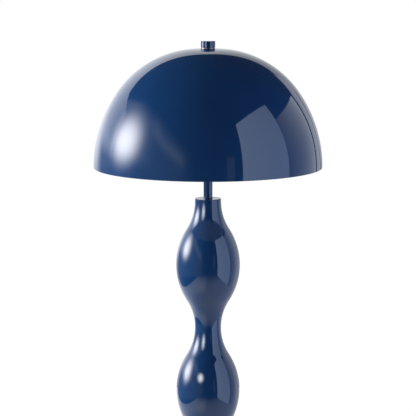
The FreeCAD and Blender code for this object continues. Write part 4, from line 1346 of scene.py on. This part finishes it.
def make_world():
    """The studio as the lacquer mirrors it: a white sweep behind, a soft box at the left, two
    panels at the right, and darkness overhead and on the camera's side. To the camera itself
    the backdrop is plain white. Bearings run from the camera's side towards +X and rises up
    from the horizon, both in degrees. Across and up lie on a flat panel at a distance of 1."""
    world = bpy.data.worlds.new("studio")
    world.use_nodes = True
    tree = world.node_tree
    tree.nodes.clear()
    x, y, z = coordinates(tree, "Generated")
    bearing = x.arctangent(y * -1) * IN_DEGREES
    rise = z.arcsine() * IN_DEGREES
    layers = []

    def layer(level, colour=DIM_BLUE):
        layers.append(tinted(tree, colour, level))

    # White sweep behind the lamp, brighter at the left and dim in its low left corner
    depth = y.at_least(0.001)
    behind = y > 0.002
    across, up = x / depth, z / depth
    top_edge = across.at_least(0) * 0.4 + up
    top_edge = (-1 - across).at_least(0) * -0.34 + top_edge
    corner = ramp(bearing, -150, -132, 0, 0.75) * ramp(rise, 7, -2) * (bearing < 0)
    tone = (across * -1.25 + 1.1).at_most(1.74).at_least(0.74)
    tone = tone * ramp(rise, -12, 0, 0.45, 1.0) * ramp(rise, 2, 10, 1.14, 1.0)
    sweep = window(across, -2.3, 0.49, 0.1, 0.02) * ramp(top_edge, 0.69, 0.67)
    layer(sweep * behind * (1 - corner) * tone, SWEEP_WHITE)

    # The sweep's edge at the right, between two seams
    edge = window(bearing, 140.3, 152.4, 0.8) * ramp(top_edge, 0.80, 0.76)
    layer(edge * behind, SWEEP_WHITE)
    edge = window(bearing, 151, 156, 1) * ramp(top_edge, 0.74, 0.66) * ramp(rise, 10, 15)
    layer(edge * behind * 0.85, SWEEP_WHITE)

    # Wall at the right, darker towards the camera
    wall = window(bearing, 88.5, 137.6, 0.8) * ramp(z / x.at_least(0.001), 0.60, 0.58)
    wall = wall * ramp(rise, -50, -30) * ramp(rise, 0, 26, 1.0, 1.28)
    layer(wall * ((bearing - 90) * 0.0165 + 0.5), WALL_GREY)

    # Large bright panel at the right, towards the camera
    face = math.radians(68)
    facing = x * math.sin(face) + y * -math.cos(face)
    depth = facing.at_least(0.001)
    across = (x * math.cos(face) + y * math.sin(face)) / depth
    panel = window(across, -0.66, 0.365, 0.012) * window(z / depth, -0.86, 0.975, 0.1, 0.012)
    layer(panel * (facing > 0.002) * ((bearing - 36) * -0.0135 + 2.15), PANEL_BLUE)

    # Wall at the left, lighter near the soft box, with a slanting strip of light on it
    slant = (bearing + 46) * 0.56 + rise
    strip = (slant - 20.8) / 4.5
    strip = 0.5 ** (strip * strip) * window(bearing, -64, -24, 16, 10) * 0.58
    near_box = ramp(bearing, -52, -70) * ramp(rise, -2, 8) * 0.42
    wall = window(bearing, -127, -20, 4, 26) * window(rise, -21, 37.5, 10, 13)
    wall = wall * ramp(slant, 38, 27) * ramp((bearing + 107) * -0.5 + rise, 39, 33)
    layer(wall * (strip + near_box + 0.3))

    # A narrow pale strip by the panel, and what little light the dark sides give
    layer(window(bearing, 18.5, 26.5, 2) * window(rise, -7, 13, 3) * 0.3)
    layer(0.045)

    colour = layers[0]
    for other in layers[1:]:
        colour = worked(tree, "ShaderNodeVectorMath", "MAXIMUM", colour, other)
    colour = worked(tree, "ShaderNodeVectorMath", "ADD", colour, soft_box(tree, x, y, z))
    studio, backdrop = (tree.nodes.new("ShaderNodeBackground") for _ in range(2))
    tree.links.new(colour, studio.inputs["Color"])
    backdrop.inputs["Color"].default_value = (1, 1, 1, 1)
    ray = tree.nodes.new("ShaderNodeLightPath").outputs["Is Camera Ray"]
    last = tree.nodes.new("ShaderNodeOutputWorld")
    seen = blended(tree, ray, studio.outputs[0], backdrop.outputs[0])
    tree.links.new(seen, last.inputs["Surface"])
    bpy.context.scene.world = world


def make_floor():
    """A white paper floor. It keeps the lamp's shadow, and fades to the backdrop's white. What
    the lacquer mirrors of it is dimmer, with painted shade that deepens towards the camera and a
    painted pool of light at the left."""
    build = bmesh.new()
    corners = ((-1.7, -3.1), (1.7, -3.1), (1.7, 3.2), (-1.7, 3.2))
    build.faces.new([build.verts.new((x, y, 0)) for x, y in corners])
    mesh = bpy.data.meshes.new("floor")
    build.to_mesh(mesh)
    build.free()
    floor = placed("floor", mesh)
    material = bpy.data.materials.new("white paper floor")
    material.use_nodes = True
    tree = material.node_tree
    tree.nodes.clear()
    x, y = coordinates(tree)[:2]
    reach = (x * x + y * y).root()

    def glowing(strength):
        glow = tree.nodes.new("ShaderNodeEmission")
        feed(tree, glow.inputs["Strength"], strength)
        return glow.outputs[0]

    lit = tree.nodes.new("ShaderNodeBsdfDiffuse")
    lit.inputs["Color"].default_value = (0.8, 0.8, 0.8, 1)
    paper = tree.nodes.new("ShaderNodeAddShader")
    tree.links.new(lit.outputs[0], paper.inputs[0])
    tree.links.new(glowing(FLOOR_GLOW), paper.inputs[1])
    seen = blended(tree, ramp(reach, 0.45, 1.35), paper.outputs[0], glowing(1.0))
    # Painted light on the floor, seen only in the gloss: a pool of light at the left, and painted
    # shade that deepens towards the camera.
    left = ramp(x, -0.05, -0.5) * ramp(reach, 0.7, 1.2, 0, 0.6)
    mirrored = glowing((left + 0.82) * ramp(y, -3.0, -1.0, 0.12, 1))
    ray = tree.nodes.new("ShaderNodeLightPath").outputs["Is Glossy Ray"]
    clear = tree.nodes.new("ShaderNodeBsdfTransparent").outputs[0]
    underside = tree.nodes.new("ShaderNodeNewGeometry").outputs["Backfacing"]
    both = blended(tree, ray, seen, mirrored)
    last = tree.nodes.new("ShaderNodeOutputMaterial")
    tree.links.new(blended(tree, underside, both, clear), last.inputs[0])
    mesh.materials.append(material)


def soft_light(name, place, aim, size, power, mirrored):
    """An area light that only lights the colours, or that is only mirrored in the gloss."""
    data = bpy.data.lights.new(name, "AREA")
    data.shape = "RECTANGLE"
    data.size, data.size_y = size
    data.energy = power
    light = placed(name, data)
    light.location = place
    light.rotation_euler = (Vector(aim) - Vector(place)).to_track_quat("-Z", "Y").to_euler()
    light.visible_camera = False
    light.visible_glossy = mirrored
    light.visible_diffuse = not mirrored
    return data


def glint(name, place, aim, width, height, brightness):
    """A small lamp with a narrow beam and soft edges, close to one piece, that only the gloss
    shows."""
    power = brightness * math.pi * width * height * MM * MM / BEAM_GAIN
    size = (width * MM, height * MM)
    light = soft_light(name, Vector(place) * MM, Vector(aim) * MM, size, power, mirrored=True)
    light.shape = "ELLIPSE"
    light.spread = GLINT_BEAM
    light.use_nodes = True
    tree = light.node_tree
    spot = tree.nodes.new("ShaderNodeNewGeometry")
    off = new_node(tree, "ShaderNodeVectorMath", operation="DISTANCE")
    tree.links.new(spot.outputs["Parametric"], off.inputs[0])
    off.inputs[1].default_value = (0.5, 0.5, 0)
    fade = ramp(Amount(tree, off.outputs["Value"]), 0.5, 0.1)
    feed(tree, tree.nodes["Emission"].inputs["Strength"], fade)


def make_lights():
    side = soft_light(
        "side light", (-2.6, -0.1, 1.5), (0, 0, 1.42), (0.8, 1.0), power=12, mirrored=False
    )
    side.spread = math.radians(60)
    glint("glint on the neck", (-45, -69.4, 1169.7), (-8.1, -23.3, 1158.9), 66, 34, 12)
    glint("glint on the waist", (-43.5, -71.1, 937.8), (-8.2, -24.5, 924.4), 62, 32, 12)
    glint("glint on the bulge", (-61.3, -133.3, 893.7), (-13.3, -50.3, 865), 88, 62, 14)
    glint("glint on the knob", (-26.8, -45.1, 1450.4), (-3.9, -12.4, 1452.6), 26, 24, 6)
    glint("second glint on the knob", (-49.2, -8.4, 1450.4), (-9.3, -9.1, 1452.6), 36, 24, 10)


def make_camera():
    """The photograph's view: 3 m in front, a little above the shade, pitched down."""
    pitch_down = 8.69
    data = bpy.data.cameras.new("camera")
    data.lens = 147.77
    data.sensor_width = 36
    data.clip_start, data.clip_end = 0.1, 60
    camera = placed("camera", data)
    camera.location = (0, -3.0, 1.621)
    camera.rotation_euler = (math.radians(90 - pitch_down), 0, 0)
    bpy.context.scene.camera = camera


def make_lamp():
    circle = circle_rule()
    thread = thread_rule()
    make_base_cover()
    make_cord_grommet()
    make_foot_pads(circle)
    make_plate_screws(circle)
    make_column()
    make_stem_tube()
    make_saddle()
    make_harp()
    make_ferrules()
    make_swivel(thread)
    make_shade()
    make_inside_coat()
    make_finial()
    make_socket_cap()
    make_socket_shell()
    make_screw_shell(thread)
    make_switch_knob()
    make_bulb(thread)
    dress_plain_solids()


make_camera()
make_lamp()
make_world()
make_floor()
make_lights()
bpy.context.scene.view_settings.view_transform = "Standard"
bpy.context.view_layer.update()
